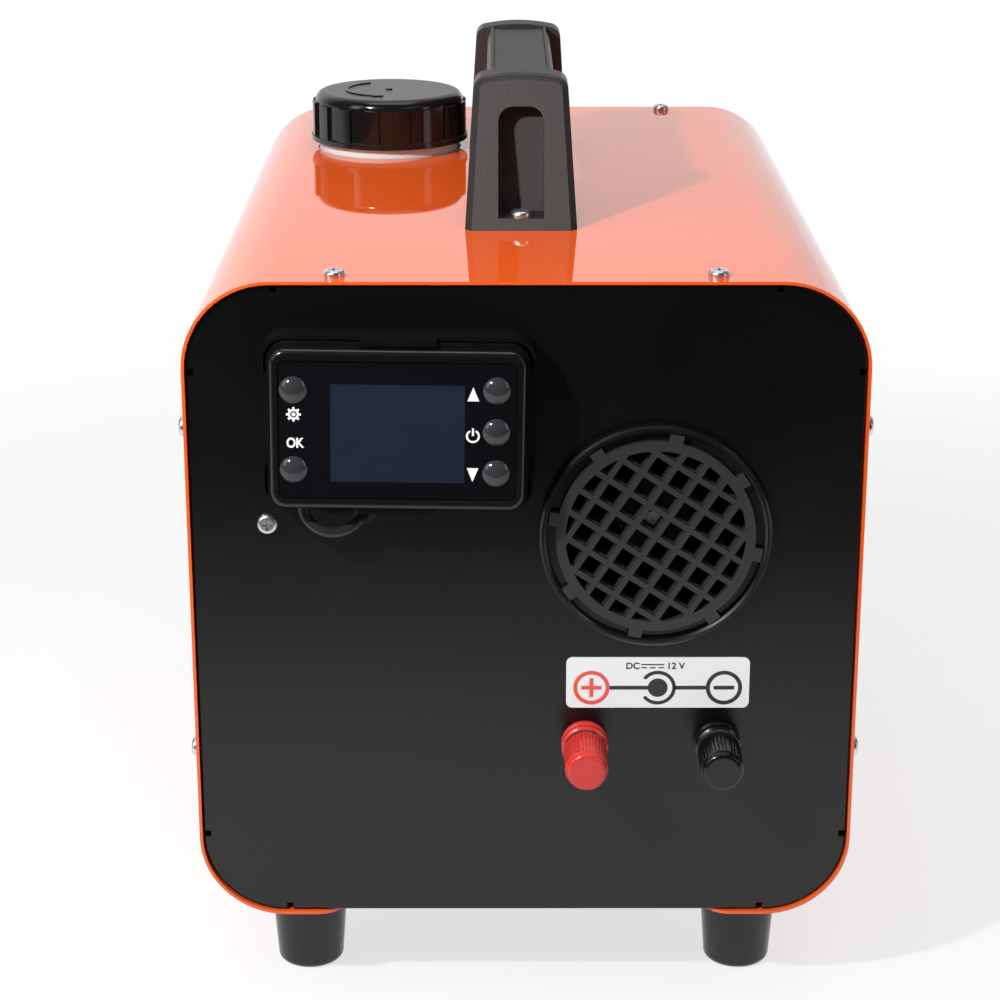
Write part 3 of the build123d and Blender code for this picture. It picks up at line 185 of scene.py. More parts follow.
class Finish:
    """The nodes of a material or a world."""

    def __init__(self, owner):
        if isinstance(owner, str):
            owner = bpy.data.materials.new(owner)
        self.owner = owner
        owner.use_nodes = True
        self.tree = owner.node_tree
        self.tree.nodes.clear()

    def node(self, kind, settings=None, values=None, output=0):
        """Adds one node: its settings first, then its sockets' values or links."""
        made = self.tree.nodes.new(kind)
        for name, value in (settings or {}).items():
            setattr(made, name, value)
        for name, value in (values or {}).items():
            if isinstance(value, Field):
                self.tree.links.new(value.socket, made.inputs[name])
            else:
                made.inputs[name].default_value = value
        return Field(self, made.outputs[output]) if len(made.outputs) else None

    def place(self):
        """Where a point is on the object, in metres."""
        return self.node("ShaderNodeTexCoord", output="Object")

    def stretched(self, along, across):
        """Where a point is, with one axis drawn out so that a texture runs along it."""
        drawn_out = 12
        scale = [1 / (across * drawn_out) if axis == along else 1 / across for axis in "XYZ"]
        return self.node("ShaderNodeVectorMath", {"operation": "MULTIPLY"}, {0: self.place(), 1: scale})

    def axes(self, vector):
        """The three parts of a vector."""
        parts = self.node("ShaderNodeSeparateXYZ", values={0: vector})
        return [Field(self, out) for out in parts.socket.node.outputs]

    def facing(self):
        """The surface's direction, as three numbers."""
        return self.axes(self.node("ShaderNodeNewGeometry", output="Normal"))

    def noise(self, size, detail=3.0, roughness=0.55):
        """Smooth random patches about so many metres across, from 0 to 1."""
        return self.node("ShaderNodeTexNoise", {"noise_dimensions": "3D"}, {
            "Vector": self.place(), "Scale": 1 / size, "Detail": detail, "Roughness": roughness})

    def streaks(self, along, across, detail=4.0):
        """Fine lines along an axis, as drawing or brushing leaves."""
        return self.node("ShaderNodeTexNoise", None, {
            "Vector": self.stretched(along, across), "Scale": 1.0, "Detail": detail, "Roughness": 0.6})

    def cells(self, size, feature="F1", output="Distance"):
        """Voronoi cells about so many metres across."""
        return self.node("ShaderNodeTexVoronoi", {"feature": feature}, {
            "Vector": self.place(), "Scale": 1 / size}, output=output)

    def specks(self, spacing, radius):
        """Small scattered dots: 1 on a dot and 0 off it."""
        return 1 - (self.cells(spacing) * spacing).between(radius * 0.6, radius)

    def mix(self, factor, low, high):
        """A colour between two colours."""

        def rgba(tint):
            return tint if isinstance(tint, Field) else (*tint, 1)

        made = self.node("ShaderNodeMix", {"data_type": "RGBA"}, {0: factor, 6: rgba(low), 7: rgba(high)})
        return Field(self, made.socket.node.outputs[2])

    def bump(self, height, depth):
        """The surface's direction, roughened by a height of so many metres."""
        return self.node("ShaderNodeBump", None, {"Height": height, "Distance": depth, "Strength": 1.0})

    def surface(self, **sockets):
        """The shader, with its sockets given by their names in small letters."""
        values = {}
        for name, value in sockets.items():
            values[name.replace("_", " ").title().replace("Ior", "IOR")] = value
        shader = self.node("ShaderNodeBsdfPrincipled", None, values)
        self.node("ShaderNodeOutputMaterial", None, {"Surface": shader})
        return self.owner


def shade(tint, share):
    """A colour made darker or lighter."""
    return tuple(min(1.0, part * share) for part in tint)


def case_paint(tint):
    paint = Finish("case_paint")
    tone = paint.noise(90 * MM, 2)
    peel = paint.noise(3.2 * MM, 2) * 0.7 + paint.noise(1.1 * MM, 2) * 0.3
    return paint.surface(
        base_color=paint.mix(tone.between(0.3, 0.7), shade(tint, 0.96), tint),
        roughness=0.30 + tone * 0.08,
        specular_ior_level=0.0,
        coat_weight=1.0 - paint.specks(26 * MM, 0.35 * MM) * 0.35,
        coat_roughness=0.025,
        coat_ior=1.62,
        normal=paint.bump(peel, 0.012 * MM),
    )


def plate_paint(tint):
    paint = Finish("plate_paint")
    tone = paint.noise(60 * MM, 3)
    grain = paint.noise(0.9 * MM, 3) * 0.6 + paint.noise(3.5 * MM, 2) * 0.4
    dust = paint.specks(21 * MM, 0.22 * MM)
    return paint.surface(
        base_color=paint.mix(dust * 0.5 + tone * 0.1, tint, shade(tint, 9.0)),
        roughness=0.20 + tone * 0.10 + dust * 0.3,
        ior=1.48,
        normal=paint.bump(grain, 0.016 * MM),
    )


def handle_plastic(tint):
    moulding = Finish("handle_plastic")
    _, ny, nz = moulding.facing()
    # Faces towards the front and back carry the grain and are lighter, partly from the grain's sparkle. Every
    # other face (top, sides, bevels) is painted darker, at 0.42 of the tint, as painted shade.
    grained_and_lit = abs(ny).between(0.80, 0.90)
    spark = moulding.noise(0.55 * MM, 2, 0.7)
    worn = moulding.noise(22 * MM, 3)
    top = nz.between(0.85, 0.97)
    height = spark * (0.25 + grained_and_lit * 0.75) + moulding.streaks("Y", 0.5 * MM) * top * 0.5
    return moulding.surface(
        # Base colour: grain on the faces towards the front and back, painted shade on all other faces
        base_color=moulding.mix(grained_and_lit * (0.35 + spark.between(0.55, 0.75) * 0.65), shade(tint, 0.42),
                                shade(tint, 1.65)),
        roughness=0.40 + grained_and_lit * 0.10 + worn * 0.08 + top * 0.14,
        ior=1.5,
        normal=moulding.bump(height, 0.15 * MM),
    )


def gloss_plastic(name, tint, roughness=0.12, grain=0.006 * MM):
    """A polished moulding with a faint flow pattern and a few fine scuffs."""
    moulding = Finish(name)
    flow = moulding.noise(14 * MM, 3)
    scuff = moulding.streaks("X", 0.35 * MM).between(0.68, 0.8)
    return moulding.surface(
        base_color=moulding.mix(flow, shade(tint, 0.85), shade(tint, 1.2)),
        roughness=roughness + flow * 0.06 + scuff * 0.10,
        ior=1.5,
        normal=moulding.bump(moulding.noise(2.2 * MM, 3), grain),
    )


def satin_plastic(name, tint, roughness=0.45, size=0.7 * MM, grain=0.035 * MM):
    """A moulding from a spark-eroded tool: an even fine grain."""
    moulding = Finish(name)
    spark = moulding.noise(size, 3, 0.65)
    tone = moulding.noise(30 * MM, 3)
    return moulding.surface(
        base_color=moulding.mix(tone, shade(tint, 0.8), shade(tint, 1.25)),
        roughness=roughness + spark * 0.10 - tone * 0.05,
        ior=1.48,
        normal=moulding.bump(spark, grain),
    )


def cap_plastic(tint):
    """Polished sides and ribs, with a rougher top painted lighter grey as painted light from above."""
    moulding = Finish("cap_plastic")
    _, _, nz = moulding.facing()
    # Faces turned upwards are painted lighter: painted light from above on the cap's top
    top = nz.between(0.6, 0.97)
    flow = moulding.noise(9 * MM, 3)
    return moulding.surface(
        base_color=moulding.mix(top * 0.6 + flow * 0.2, tint, shade(tint, 3.0)),
        roughness=0.10 + top * 0.24 + flow * 0.05,
        ior=1.5,
        normal=moulding.bump(moulding.noise(1.6 * MM, 3), 0.010 * MM),
    )


def rubber(name, tint):
    moulding = Finish(name)
    bloom = moulding.noise(6 * MM, 4)
    return moulding.surface(
        base_color=moulding.mix(bloom.between(0.35, 0.8), tint, shade(tint, 2.2)),
        roughness=0.6 + bloom * 0.15,
        ior=1.45,
        normal=moulding.bump(moulding.noise(0.5 * MM, 3), 0.03 * MM),
    )


def plated_steel(name, tint, roughness=0.20, spangle=0.0):
    """Zinc or nickel plate, with faint cloudiness and, on galvanised sheet, its crystals."""
    plate = Finish(name)
    cloud = plate.noise(3.5 * MM, 4)
    facet = plate.axes(plate.cells(4 * MM, output="Color"))[0]
    return plate.surface(
        base_color=plate.mix(cloud * (1 - spangle) + facet * spangle, shade(tint, 0.72), tint),
        metallic=1.0,
        roughness=roughness + cloud * 0.12 + facet * spangle * 0.2,
        normal=plate.bump(plate.noise(0.6 * MM, 3), 0.006 * MM),
    )


def drawn_metal(name, tint, along="Y", roughness=0.30, stain=None):
    """Brushed or drawn metal, with heat or handling stains."""
    metal = Finish(name)
    line = metal.streaks(along, 0.25 * MM)
    patch = metal.noise(18 * MM, 4).between(0.45, 0.75)
    return metal.surface(
        base_color=metal.mix(patch * 0.6, metal.mix(line, shade(tint, 0.8), tint), stain or shade(tint, 0.6)),
        metallic=1.0,
        roughness=roughness + line * 0.15 + patch * 0.10,
        normal=metal.bump(line, 0.010 * MM),
    )


def cast_metal(name, tint):
    metal = Finish(name)
    sand = metal.noise(0.8 * MM, 4, 0.7)
    oxide = metal.noise(16 * MM, 3)
    return metal.surface(
        base_color=metal.mix(sand * 0.5 + oxide * 0.5, shade(tint, 0.6), tint),
        metallic=0.9,
        roughness=0.48 + sand * 0.15,
        normal=metal.bump(sand, 0.08 * MM),
    )


def tank_plastic(tint):
    moulding = Finish("tank_plastic")
    cloud = moulding.noise(25 * MM, 3)
    return moulding.surface(
        base_color=moulding.mix(cloud, shade(tint, 0.92), tint),
        roughness=0.34 + cloud * 0.1,
        subsurface_weight=0.25,
        subsurface_scale=0.004,
        normal=moulding.bump(moulding.noise(1.4 * MM, 3), 0.03 * MM),
    )


def label_film(tint):
    film = Finish("label_film")
    wave = film.noise(12 * MM, 2)
    return film.surface(
        base_color=film.mix(wave, shade(tint, 0.96), tint),
        roughness=0.28 + wave * 0.08,
        ior=1.5,
        normal=film.bump(film.noise(0.8 * MM, 3), 0.006 * MM),
    )


def circuit_board():
    board = Finish("circuit_board")
    mask, copper, pad = (0.012, 0.085, 0.035), (0.03, 0.16, 0.06), (0.65, 0.62, 0.55)
    track = board.cells(5 * MM, "DISTANCE_TO_EDGE") < 0.09
    dot = board.specks(4 * MM, 0.5 * MM)
    return board.surface(
        base_color=board.mix(dot, board.mix(track, mask, copper), pad),
        metallic=dot * 0.8,
        roughness=0.30 + board.noise(2 * MM) * 0.1,
        normal=board.bump(track + dot * 0.5, 0.03 * MM),
    )


def window_finish(screen_tint, middle, half_width, half_height, drop, tilt):
    """Black-backed glossy window with the unlit display showing through it."""
    glass = Finish("display_glass")
    x, _, z = glass.axes(glass.place())
    across = (x - middle.x) * math.cos(tilt) - (z - middle.z) * math.sin(tilt)
    up = (x - middle.x) * math.sin(tilt) + (z - middle.z) * math.cos(tilt) + drop
    edge = 0.25 * MM
    inside = (1 - abs(across).between(half_width - edge, half_width + edge)) \
        * (1 - abs(up).between(half_height - edge, half_height + edge))
    backing, dust_tint = (0.0048, 0.0048, 0.0062), (0.4, 0.4, 0.42)
    weave = glass.streaks("X", 1.1 * MM) * 0.5 + glass.noise(24 * MM, 3) * 0.5
    screen = glass.mix(weave, shade(screen_tint, 0.75), shade(screen_tint, 1.3))
    dust = glass.specks(7 * MM, 0.10 * MM)
    return glass.surface(
        base_color=glass.mix(dust * 0.25, glass.mix(inside, backing, screen), dust_tint),
        roughness=0.05 + inside * 0.05 + dust * 0.3,
        ior=1.45,
        normal=glass.bump(glass.noise(9 * MM, 2), 0.004 * MM),
    )


def ink(name, tint):
    coat = Finish(name)
    cover = coat.noise(0.35 * MM, 3)
    return coat.surface(
        base_color=coat.mix(cover.between(0.2, 0.45), shade(tint, 0.85), tint),
        roughness=0.5 + cover * 0.1,
        normal=coat.bump(cover, 0.004 * MM),
    )


def dress(material, *nodes):
    """Gives the CAD nodes their finish."""
    for name in nodes:
        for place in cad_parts[name].material_slots:
            place.material = material


def settings(group):
    return getattr(bpy.context.scene, group)


def centre(node):
    low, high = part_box(node)
    return (low + high) / 2


def circle(radius, middle=(0, 0)):
    """A round outline."""
    sides = 64
    return arc(radius, 0, 360 - 360 / sides, middle, sides)


def arc(radius, start, end, middle=(0, 0), steps=32):
    """Points along an arc, from one angle to the other in degrees."""
    turns = [math.radians(start + (end - start) * k / (steps - 1)) for k in range(steps)]
    return [(middle[0] + radius * math.cos(t), middle[1] + radius * math.sin(t)) for t in turns]


def ring(radius, stroke, middle=(0, 0)):
    return [circle(radius, middle), circle(radius - stroke, middle)]


def bar(width, height, middle=(0, 0)):
    x, z = middle
    return [(x - width / 2, z - height / 2), (x + width / 2, z - height / 2),
            (x + width / 2, z + height / 2), (x - width / 2, z + height / 2)]


def open_ring(radius, stroke, start, end, middle=(0, 0)):
    """A ring with a gap and round ends."""
    mid, half = radius - stroke / 2, stroke / 2

    def cap(turn, face):
        at = arc(mid, turn, turn, middle, 2)[0]
        return arc(half, face, face + 180, at, 10)[1:-1]

    outer = arc(radius, start, end, middle, 48)
    inner = arc(radius - stroke, end, start, middle, 48)
    return outer + cap(end, end) + inner + cap(start, start + 180)


def gear(radius, root, teeth):
    """A cog's outline, with flat teeth that narrow outwards."""
    step = 360 / teeth
    foot, tip = 0.30, 0.19
    points = []
    for k in range(teeth):
        for share, size in ((-foot, root), (-tip, radius), (tip, radius), (foot, root)):
            turn = math.radians(90 + (k + share) * step)
            points.append((size * math.cos(turn), size * math.sin(turn)))
    return points


def printed(name, outlines, matrix, thickness, material):
    """A flat mark with real thickness, from closed outlines. An outline inside another is a hole."""
    shape = bpy.data.curves.new(name, "CURVE")
    shape.dimensions = "2D"
    shape.fill_mode = "BOTH"
    shape.extrude = thickness / 2
    for outline in outlines:
        spline = shape.splines.new("POLY")
        spline.points.add(len(outline) - 1)
        for point, (x, z) in zip(spline.points, outline):
            point.co = (x, z, 0, 1)
        spline.use_cyclic_u = True
    shape.materials.append(material)
    return settle(bpy.data.objects.new(name, shape), matrix)


def lettered(name, text, height, matrix, thickness, material, weight=0.0, narrow=1.0):
    """Generic lettering, its middle at the matrix's origin."""
    shape = bpy.data.curves.new(name, "FONT")
    shape.body = text
    shape.size = height / 0.73
    shape.align_x = "CENTER"
    shape.align_y = "CENTER"
    shape.extrude = thickness / 2
    shape.offset = weight
    shape.materials.append(material)
    squeezed = matrix @ Matrix.Diagonal((narrow, 1, 1, 1))
    return settle(bpy.data.objects.new(name, shape), squeezed)


def settle(piece, matrix):
    """Puts a piece in the scene, on the fixed case."""
    bpy.context.scene.collection.objects.link(piece)
    piece.matrix_world = matrix
    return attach(piece, "root")


def facing_front(at, tilt=0.0):
    """Where a mark goes that lies on a face towards the front."""
    return Matrix.Translation(at) @ Matrix.Rotation(tilt, 4, "Y") @ Matrix.Rotation(math.radians(90), 4, "X")


class HEATER_OT_case(bpy.types.Operator):
    """Paint the wrap, the end plates and the tray"""

    bl_idname = "heater.case"
    bl_label = "Case"

    def execute(self, context):
        paint = settings("heater_paint")
        dress(case_paint(paint.case), "case_shell")
        dress(plate_paint(paint.plate), "front_panel", "rear_panel", "base_tray")
        return {"FINISHED"}


class HEATER_OT_feet(bpy.types.Operator):
    """Finish the feet"""

    bl_idname = "heater.feet"
    bl_label = "Feet"

    def execute(self, context):
        paint = settings("heater_paint")
        dress(gloss_plastic("foot_plastic", paint.black, 0.16, 0.012 * MM),
              *[f"foot_{end}_{side}" for end in ("front", "rear") for side in ("left", "right")])
        return {"FINISHED"}


class HEATER_OT_fasteners(bpy.types.Operator):
    """Plate the screws, the studs and the nuts"""

    bl_idname = "heater.fasteners"
    bl_label = "Screws"

    def execute(self, context):
        dress(plated_steel("screw_zinc", (0.82, 0.83, 0.84), 0.24), "case_screws", "foot_screws")
        dress(plated_steel("terminal_nickel", (0.76, 0.66, 0.42), 0.22), "terminal_studs", "terminal_nuts")
        return {"FINISHED"}


class HEATER_OT_handle(bpy.types.Operator):
    """Finish the carry handle"""

    bl_idname = "heater.handle"
    bl_label = "Carry handle"

    def execute(self, context):
        dress(handle_plastic(settings("heater_paint").handle), "carry_handle")
        return {"FINISHED"}


class HEATER_OT_fuel(bpy.types.Operator):
    """Finish the fuel cap, its gasket, the tank and what feeds the pump"""

    bl_idname = "heater.fuel"
    bl_label = "Fuel cap and tank"

    def execute(self, context):
        paint = settings("heater_paint")
        dress(cap_plastic(paint.black), "fuel_cap")
        dress(rubber("gasket_rubber", (0.014, 0.013, 0.013)), "cap_gasket")
        dress(tank_plastic(paint.tank), "fuel_tank")
        dress(plated_steel("strap_zinc", (0.62, 0.63, 0.64), 0.28, 0.7), "tank_straps", "pump_clamp")
        dress(drawn_metal("fitting_brass", (0.74, 0.52, 0.20), "X", 0.25), "pickup_fitting")
        dress(satin_plastic("filter_plastic", (0.55, 0.52, 0.42), 0.3), "fuel_filter")
        dress(drawn_metal("pump_steel", (0.55, 0.56, 0.57), "Y", 0.26), "fuel_pump")
        dress(rubber("hose_rubber", (0.012, 0.012, 0.012)), "fuel_hoses")
        return {"FINISHED"}


class HEATER_OT_controller(bpy.types.Operator):
    """Finish the controller, its buttons and its window"""

    bl_idname = "heater.controller"
    bl_label = "Controller"

    screen_width: length("Screen width", "Width of the visible display", 49.8 * MM)
    screen_height: length("Screen height", "Height of the visible display", 37.7 * MM)
    screen_drop: length("Screen drop", "How far the display lies under the window's middle", 1.1 * MM)

    def execute(self, context):
        paint = settings("heater_paint")
        dress(gloss_plastic("housing_plastic", (0.0045, 0.0045, 0.005), 0.17, 0.02 * MM),
              "controller_bezel", "controller_back", "controller_bracket")
        dress(gloss_plastic("button_plastic", paint.button, 0.09, 0.004 * MM),
              *[f"button_{name}" for name in ("settings", "ok", "up", "power", "down")])
        window = window_finish(paint.screen, centre("display_window"), self.screen_width / 2,
                               self.screen_height / 2, self.screen_drop, settings("heater_marks").tilt)
        dress(window, "display_window")
        dress(gloss_plastic("display_module", (0.02, 0.028, 0.04), 0.15), "display_panel")
        dress(circuit_board(), "controller_board")
        return {"FINISHED"}


class HEATER_OT_controller_marks(bpy.types.Operator):
    """Print the cog, OK, arrows and power mark on the display window"""

    bl_idname = "heater.controller_marks"
    bl_label = "Controller marks"

    left: length("Left marks", "From the window's middle to the marks beside the left buttons", 38.5 * MM)
    right: length("Right marks", "From the window's middle to the marks beside the right buttons", 28.0 * MM)
    cog_rise: length("Cog", "Height of the cog over the window's middle", 6.0 * MM)
    ok_rise: length("OK", "Height of the word OK over the window's middle", -5.2 * MM)
    up_rise: length("Up arrow", "Height of the upper arrow over the window's middle", 14.6 * MM)
    power_rise: length("Power", "Height of the power mark over the window's middle", -1.6 * MM)
    down_rise: length("Down arrow", "Height of the lower arrow over the window's middle", -16.7 * MM)

    def execute(self, context):
        marks = settings("heater_marks")
        white = ink("white_ink", marks.white)
        low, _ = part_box("display_window")
        middle = centre("display_window")
        middle.y = low.y - marks.thickness / 2

        def spot(across, up):
            return facing_front(middle, marks.tilt) @ Matrix.Translation((across, up, 0))

        def mark(name, outlines, across, up):
            printed(name, outlines, spot(across, up), marks.thickness, white)

        cog = [gear(2.8 * MM, 2.05 * MM, 8), circle(1.25 * MM), circle(0.75 * MM)]
        mark("mark_settings", cog, -self.left, self.cog_rise)
        half_width, half_height = 2.2 * MM, 2.7 * MM
        arrow = [(-half_width, -half_height), (half_width, -half_height), (0, half_height)]
        mark("mark_up", [arrow], self.right, self.up_rise)
        mark("mark_down", [[(x, -z) for x, z in arrow]], self.right, self.down_rise)
        stroke = 0.75 * MM
        power = [open_ring(2.6 * MM, stroke, 125, 415), bar(stroke, 3.0 * MM, (0, 1.6 * MM))]
        mark("mark_power", power, self.right, self.power_rise)
        lettered("mark_ok", "OK", 3.8 * MM, spot(-self.left + 0.4 * MM, self.ok_rise), marks.thickness, white,
                 weight=0.17 * MM, narrow=0.82)
        return {"FINISHED"}


class HEATER_OT_lead(bpy.types.Operator):
    """Lay the controller's lead, from the housing back into the front plate"""

    bl_idname = "heater.lead"
    bl_label = "Controller lead"

    def execute(self, context):
        lead = settings("heater_lead")
        route = [
            (-84.64, -199.0, 215.38), (-84.64, -199.0, 210.78), (-80.6, -200.6, 206.18),
            (-74.4, -201.4, 203.98), (-68.0, -200.2, 204.78), (-63.6, -197.4, 207.38),
            (-62.0, -194.0, 208.3), (-62.0, -189.8, 208.3),
        ]
        shape = bpy.data.curves.new("controller_lead", "CURVE")
        shape.dimensions = "3D"
        shape.bevel_depth = lead.diameter / 2
        shape.bevel_resolution = 8
        shape.use_fill_caps = True
        spline = shape.splines.new("NURBS")
        spline.points.add(len(route) - 1)
        for point, place in zip(spline.points, route):
            point.co = (*[part * MM for part in place], 1)
        spline.order_u = 3
        spline.use_endpoint_u = True
        spline.resolution_u = 16
        shape.materials.append(gloss_plastic("lead_plastic", (0.016, 0.016, 0.016), 0.24, 0.012 * MM))
        piece = settle(bpy.data.objects.new("controller_lead", shape), Matrix.Identity(4))
        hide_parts("controller_cable")
        dress(rubber("grommet_rubber", (0.012, 0.012, 0.012)), "cable_grommet")
        return {"FINISHED"}


class HEATER_OT_intake(bpy.types.Operator):
    """Finish the intake's ring and grille"""

    bl_idname = "heater.intake"
    bl_label = "Intake"

    def execute(self, context):
        paint = settings("heater_paint")
        dress(gloss_plastic("ring_plastic", paint.black, 0.19), "intake_ring")
        dress(satin_plastic("grille_plastic", paint.grille, 0.27, 0.6 * MM, 0.02 * MM), "intake_grille")
        return {"FINISHED"}


class HEATER_OT_label(bpy.types.Operator):
    """Finish the polarity label and print its marks"""

    bl_idname = "heater.label"
    bl_label = "Polarity label"

    text_rise: length("Text rise", "How far the small print lies over the label's middle", 7.0 * MM)
    text_height: length("Text height", "Height of the small print's letters", 2.75 * MM)

    def execute(self, context):
        marks = settings("heater_marks")
        dress(label_film(settings("heater_paint").label), "polarity_label")
        dark, red = ink("dark_ink", marks.dark), ink("red_ink", marks.red)
        low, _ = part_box("polarity_label")
        middle = centre("polarity_label")
        middle.y = low.y - marks.thickness / 2
        row = facing_front(middle + Vector((0, 0, -marks.drop)))
        span, stroke, radius = marks.spacing, marks.stroke, marks.ring
        sign = radius * 1.12

        def mark(name, outlines, tint=dark):
            printed(name, outlines, row, marks.thickness, tint)

        mark("label_positive_ring", ring(radius, stroke, (-span, 0)), red)
        mark("label_positive_sign", self.cross(sign, stroke, -span), red)
        mark("label_negative_ring", ring(radius, stroke, (span, 0)))
        mark("label_negative_sign", [bar(sign, stroke, (span, 0))])
        mark("label_socket", [open_ring(radius, stroke * 0.9, -139, 139)])
        mark("label_pin", [circle(marks.dot)])
        for name, start, end in (("label_line_positive", radius - span, -marks.dot * 0.97),
                                 ("label_line_negative", radius - stroke * 0.4, span - radius)):
            mark(name, [bar(end - start, marks.line, ((start + end) / 2, 0))])
        self.supply(marks, middle, dark)
        return {"FINISHED"}

    def cross(self, size, stroke, at):
        """A plus sign's outline, its middle so far along the row."""
        half, thick = size / 2, stroke / 2
        corners = [(half, -thick), (half, thick), (thick, thick), (thick, half)]
        turned = []
        for quarter in range(4):
            c, s = round(math.cos(quarter * math.pi / 2)), round(math.sin(quarter * math.pi / 2))
            turned += [(at + x * c - z * s, x * s + z * c) for x, z in corners]
        return [turned]

    def supply(self, marks, middle, dark):
        """The direct-current sign between its letters and the voltage."""
        place = facing_front(middle + Vector((0, 0, self.text_rise)))
        wide, gap, line, sign = 8.9 * MM, 1.3 * MM, 0.5 * MM, -2.1 * MM
        dash = wide * 0.25
        strips = [bar(wide, line, (sign, gap / 2))]
        strips += [bar(dash, line, (sign + step * (wide - dash) / 2, -gap / 2)) for step in (-1, 0, 1)]
        printed("label_direct_current", strips, place, marks.thickness, dark)
        for name, text, across in (("label_current", "DC", -9.9 * MM), ("label_voltage", "12 V", 6.9 * MM)):
            spot = place @ Matrix.Translation((across, 0, 0))
            lettered(name, text, self.text_height, spot, marks.thickness, dark,
                     weight=0.10 * MM)


class HEATER_OT_posts(bpy.types.Operator):
    """Finish the two binding posts"""

    bl_idname = "heater.posts"
    bl_label = "Binding posts"

    def execute(self, context):
        paint = settings("heater_paint")
        red = gloss_plastic("red_plastic", paint.positive, 0.19)
        black = gloss_plastic("black_plastic", shade(paint.black, 0.6), 0.18)
        for side, material in (("positive", red), ("negative", black)):
            dress(material, f"{side}_collar", f"{side}_knob")
        dress(plated_steel("washer_nickel", (0.70, 0.68, 0.62), 0.24), "positive_washer", "negative_washer")
        return {"FINISHED"}


class HEATER_OT_heater_unit(bpy.types.Operator):
    """Finish the heater unit, its motor, pipes and control unit"""

    bl_idname = "heater.heater_unit"
    bl_label = "Heater unit"

    def execute(self, context):
        dress(satin_plastic("casing_plastic", (0.022, 0.022, 0.023)), "heater_lower_casing",
              "heater_upper_casing")
        dress(cast_metal("cast_aluminium", (0.66, 0.66, 0.67)), "heat_exchanger", "heater_bracket")
        dress(drawn_metal("burner_steel", (0.50, 0.46, 0.42), "Y", 0.32, (0.22, 0.14, 0.10)), "burner_tube",
              "glow_plug")
        dress(satin_plastic("fan_plastic", (0.020, 0.020, 0.021), 0.38), "fan_wheel")
        dress(plated_steel("nut_zinc", (0.74, 0.75, 0.76), 0.2), "fan_nut")
        dress(drawn_metal("shaft_steel", (0.60, 0.60, 0.61), "Y", 0.2), "motor_shaft", "blower_motor",
              "combustion_wheel")
        dress(drawn_metal("pipe_steel", (0.56, 0.55, 0.53), "Z", 0.28, (0.30, 0.22, 0.14)), "exhaust_pipe",
              "air_pipe")
        dress(satin_plastic("spigot_plastic", (0.018, 0.018, 0.018), 0.36), "outlet_spigot")
        dress(satin_plastic("control_plastic", (0.020, 0.020, 0.022)), "control_unit")
        dress(gloss_plastic("wire_plastic", (0.34, 0.02, 0.02), 0.3), "power_leads")
        return {"FINISHED"}


# Name, place, width and height in metres, and power in watts of each soft box
SOFT_BOXES = (
    ("fill_left", (-1.5, -1.0, 1.0), (0.5, 1.1), 5),
    ("fill_right", (1.5, -0.8, 0.8), (0.3, 1.0), 2),
    ("overhead", (0.0, 0.0, 2.0), (1.3, 1.0), 8),
)
AIM_HEIGHT = 0.17


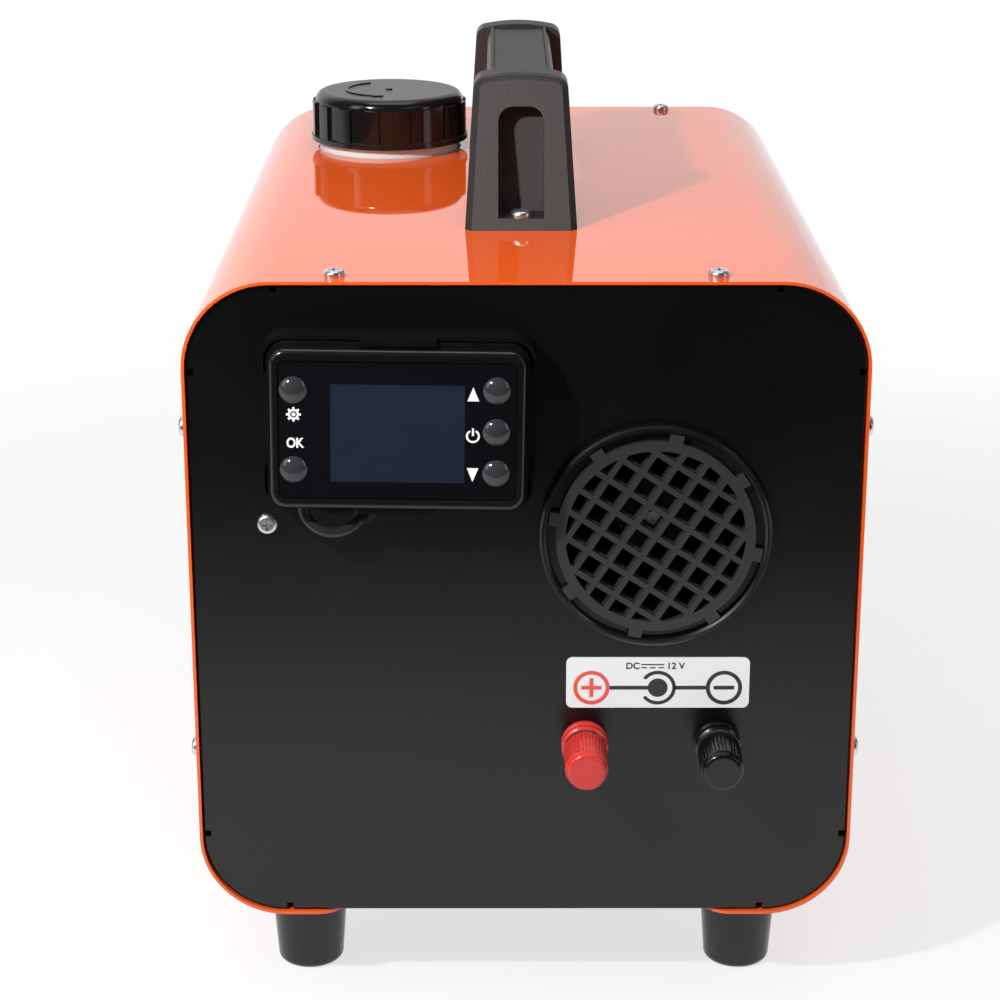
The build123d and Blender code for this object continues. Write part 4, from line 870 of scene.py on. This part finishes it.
class HEATER_OT_stage(bpy.types.Operator):
    """Set the floor, lamps, sky and camera"""

    bl_idname = "heater.stage"
    bl_label = "Studio"

    def execute(self, context):
        studio = settings("heater_studio")
        self.floor(studio)
        self.sky(context.scene)
        self.lamps(studio)
        self.camera(context.scene, studio)
        context.scene.view_settings.view_transform = "Standard"
        return {"FINISHED"}

    def floor(self, studio):
        reach = 30.0
        mesh = bpy.data.meshes.new("floor")
        mesh.from_pydata([(-reach, -reach, 0), (reach, -reach, 0), (reach, reach, 0), (-reach, reach, 0)], [],
                         [(0, 1, 2, 3)])
        ground = Finish("floor_paper")
        x, y, _ = ground.axes(ground.place())
        away = (x * x + y * y) ** 0.5
        radius = studio.floor_radius
        whitened = studio.floor_glow + away.between(radius * 0.4, radius) * (1 - studio.floor_glow)
        fleck = ground.noise(7 * MM, 3)
        lit = ground.node("ShaderNodeBsdfDiffuse", None, {
            "Color": ground.mix(fleck, shade(studio.floor, 0.985), studio.floor)})
        path = ground.node("ShaderNodeLightPath")
        seen = Field(ground, path.socket.node.outputs["Is Camera Ray"])
        mirrored = Field(ground, path.socket.node.outputs["Is Glossy Ray"]) \
            | Field(ground, path.socket.node.outputs["Is Transmission Ray"])
        dark = mirrored * (0 - y).between(0.42, 0.92) * 0.97
        level = seen | (mirrored * (1 - dark) + (1 - mirrored) * 0.5)
        plain = ground.node("ShaderNodeEmission", None, {"Color": (1, 1, 1, 1), "Strength": level})
        blend = ground.node("ShaderNodeMixShader", None, {0: whitened, 1: lit, 2: plain})
        unlit = ground.node("ShaderNodeEmission", None, {"Strength": 0.0})
        shown = ground.node("ShaderNodeMixShader", None, {0: dark, 1: blend, 2: unlit})
        ground.node("ShaderNodeOutputMaterial", None, {"Surface": shown})
        mesh.materials.append(ground.owner)
        floor = bpy.data.objects.new("floor", mesh)
        bpy.context.scene.collection.objects.link(floor)

    def sky(self, scene):
        """White to the camera and in reflections from behind; darker in front, on the right and above."""
        scene.world = bpy.data.worlds.new("studio_sky")
        air = Finish(scene.world)
        x, y, z = air.axes(air.node("ShaderNodeTexCoord", output="Generated"))
        path = air.node("ShaderNodeLightPath")
        seen = Field(air, path.socket.node.outputs["Is Camera Ray"])
        mirrored = Field(air, path.socket.node.outputs["Is Glossy Ray"]) \
            | Field(air, path.socket.node.outputs["Is Transmission Ray"])
        right, overhead = x.between(0.10, 0.65), z.between(0.5, 0.95)
        behind = y.between(0.05, 0.75) * (1 - right * 0.5) * (1 - overhead * 0.6)
        above = z.between(0.0, 0.9)
        level = seen | (mirrored * (0.05 + behind * 0.95) + (1 - mirrored) * (0.12 + above * 0.40))
        shader = air.node("ShaderNodeBackground", None, {"Color": (1, 1, 1, 1), "Strength": level})
        air.node("ShaderNodeOutputWorld", None, {"Surface": shader})

    def lamps(self, studio):
        flat, rise = math.cos(studio.key_height), math.sin(studio.key_height)
        toward = Vector((-math.sin(studio.key_azimuth) * flat, -math.cos(studio.key_azimuth) * flat, rise))
        top = Vector((0, 0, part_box("case_shell")[1].z))
        size = (studio.key_size, studio.key_size)
        self.panel("key", top + toward * studio.key_distance, size, studio.key_power)
        for name, place, size, power in SOFT_BOXES:
            self.panel(name, place, size, power)

    def panel(self, name, place, size, power):
        """A soft box that faces the middle of the heater."""
        lamp = bpy.data.lights.new(name, "AREA")
        lamp.shape = "RECTANGLE"
        lamp.size, lamp.size_y = size
        lamp.energy = power
        box = bpy.data.objects.new(name, lamp)
        box.location = place
        aim = Vector((0, 0, AIM_HEIGHT)) - Vector(place)
        box.rotation_euler = aim.to_track_quat("-Z", "Y").to_euler()
        bpy.context.scene.collection.objects.link(box)

    def camera(self, scene, studio):
        eye = bpy.data.cameras.new("camera")
        eye.sensor_width = 36.0
        eye.lens = studio.lens
        eye.clip_start, eye.clip_end = 0.05, 100.0
        camera = bpy.data.objects.new("camera", eye)
        camera.location = studio.camera
        camera.rotation_euler = Euler((math.radians(90) - studio.pitch, 0, -studio.yaw))
        scene.collection.objects.link(camera)
        scene.camera = camera


OPERATORS = (
    HEATER_OT_case, HEATER_OT_feet, HEATER_OT_fasteners, HEATER_OT_handle, HEATER_OT_fuel,
    HEATER_OT_controller, HEATER_OT_controller_marks, HEATER_OT_lead, HEATER_OT_intake, HEATER_OT_label,
    HEATER_OT_posts, HEATER_OT_heater_unit, HEATER_OT_stage,
)


class HEATER_PT_panel(bpy.types.Panel):
    """Lists the heater's steps"""

    bl_idname = "HEATER_PT_panel"
    bl_label = "Heater"
    bl_space_type = "VIEW_3D"
    bl_region_type = "UI"
    bl_category = "Heater"

    def draw(self, context):
        for operator in OPERATORS:
            self.layout.operator(operator.bl_idname)
        for name in GROUPS:
            box = self.layout.box()
            for prop in GROUPS[name].__annotations__:
                box.prop(getattr(context.scene, name), prop)


def register():
    for cls in (*GROUPS.values(), *OPERATORS, HEATER_PT_panel):
        bpy.utils.register_class(cls)
    for name, cls in GROUPS.items():
        setattr(bpy.types.Scene, name, PointerProperty(type=cls))


def unregister():
    for name in GROUPS:
        delattr(bpy.types.Scene, name)
    for cls in reversed((*GROUPS.values(), *OPERATORS, HEATER_PT_panel)):
        bpy.utils.unregister_class(cls)


def main():
    register()
    for operator in OPERATORS:
        group, name = operator.bl_idname.split(".")
        getattr(getattr(bpy.ops, group), name)()


if __name__ == "__main__":
    main()
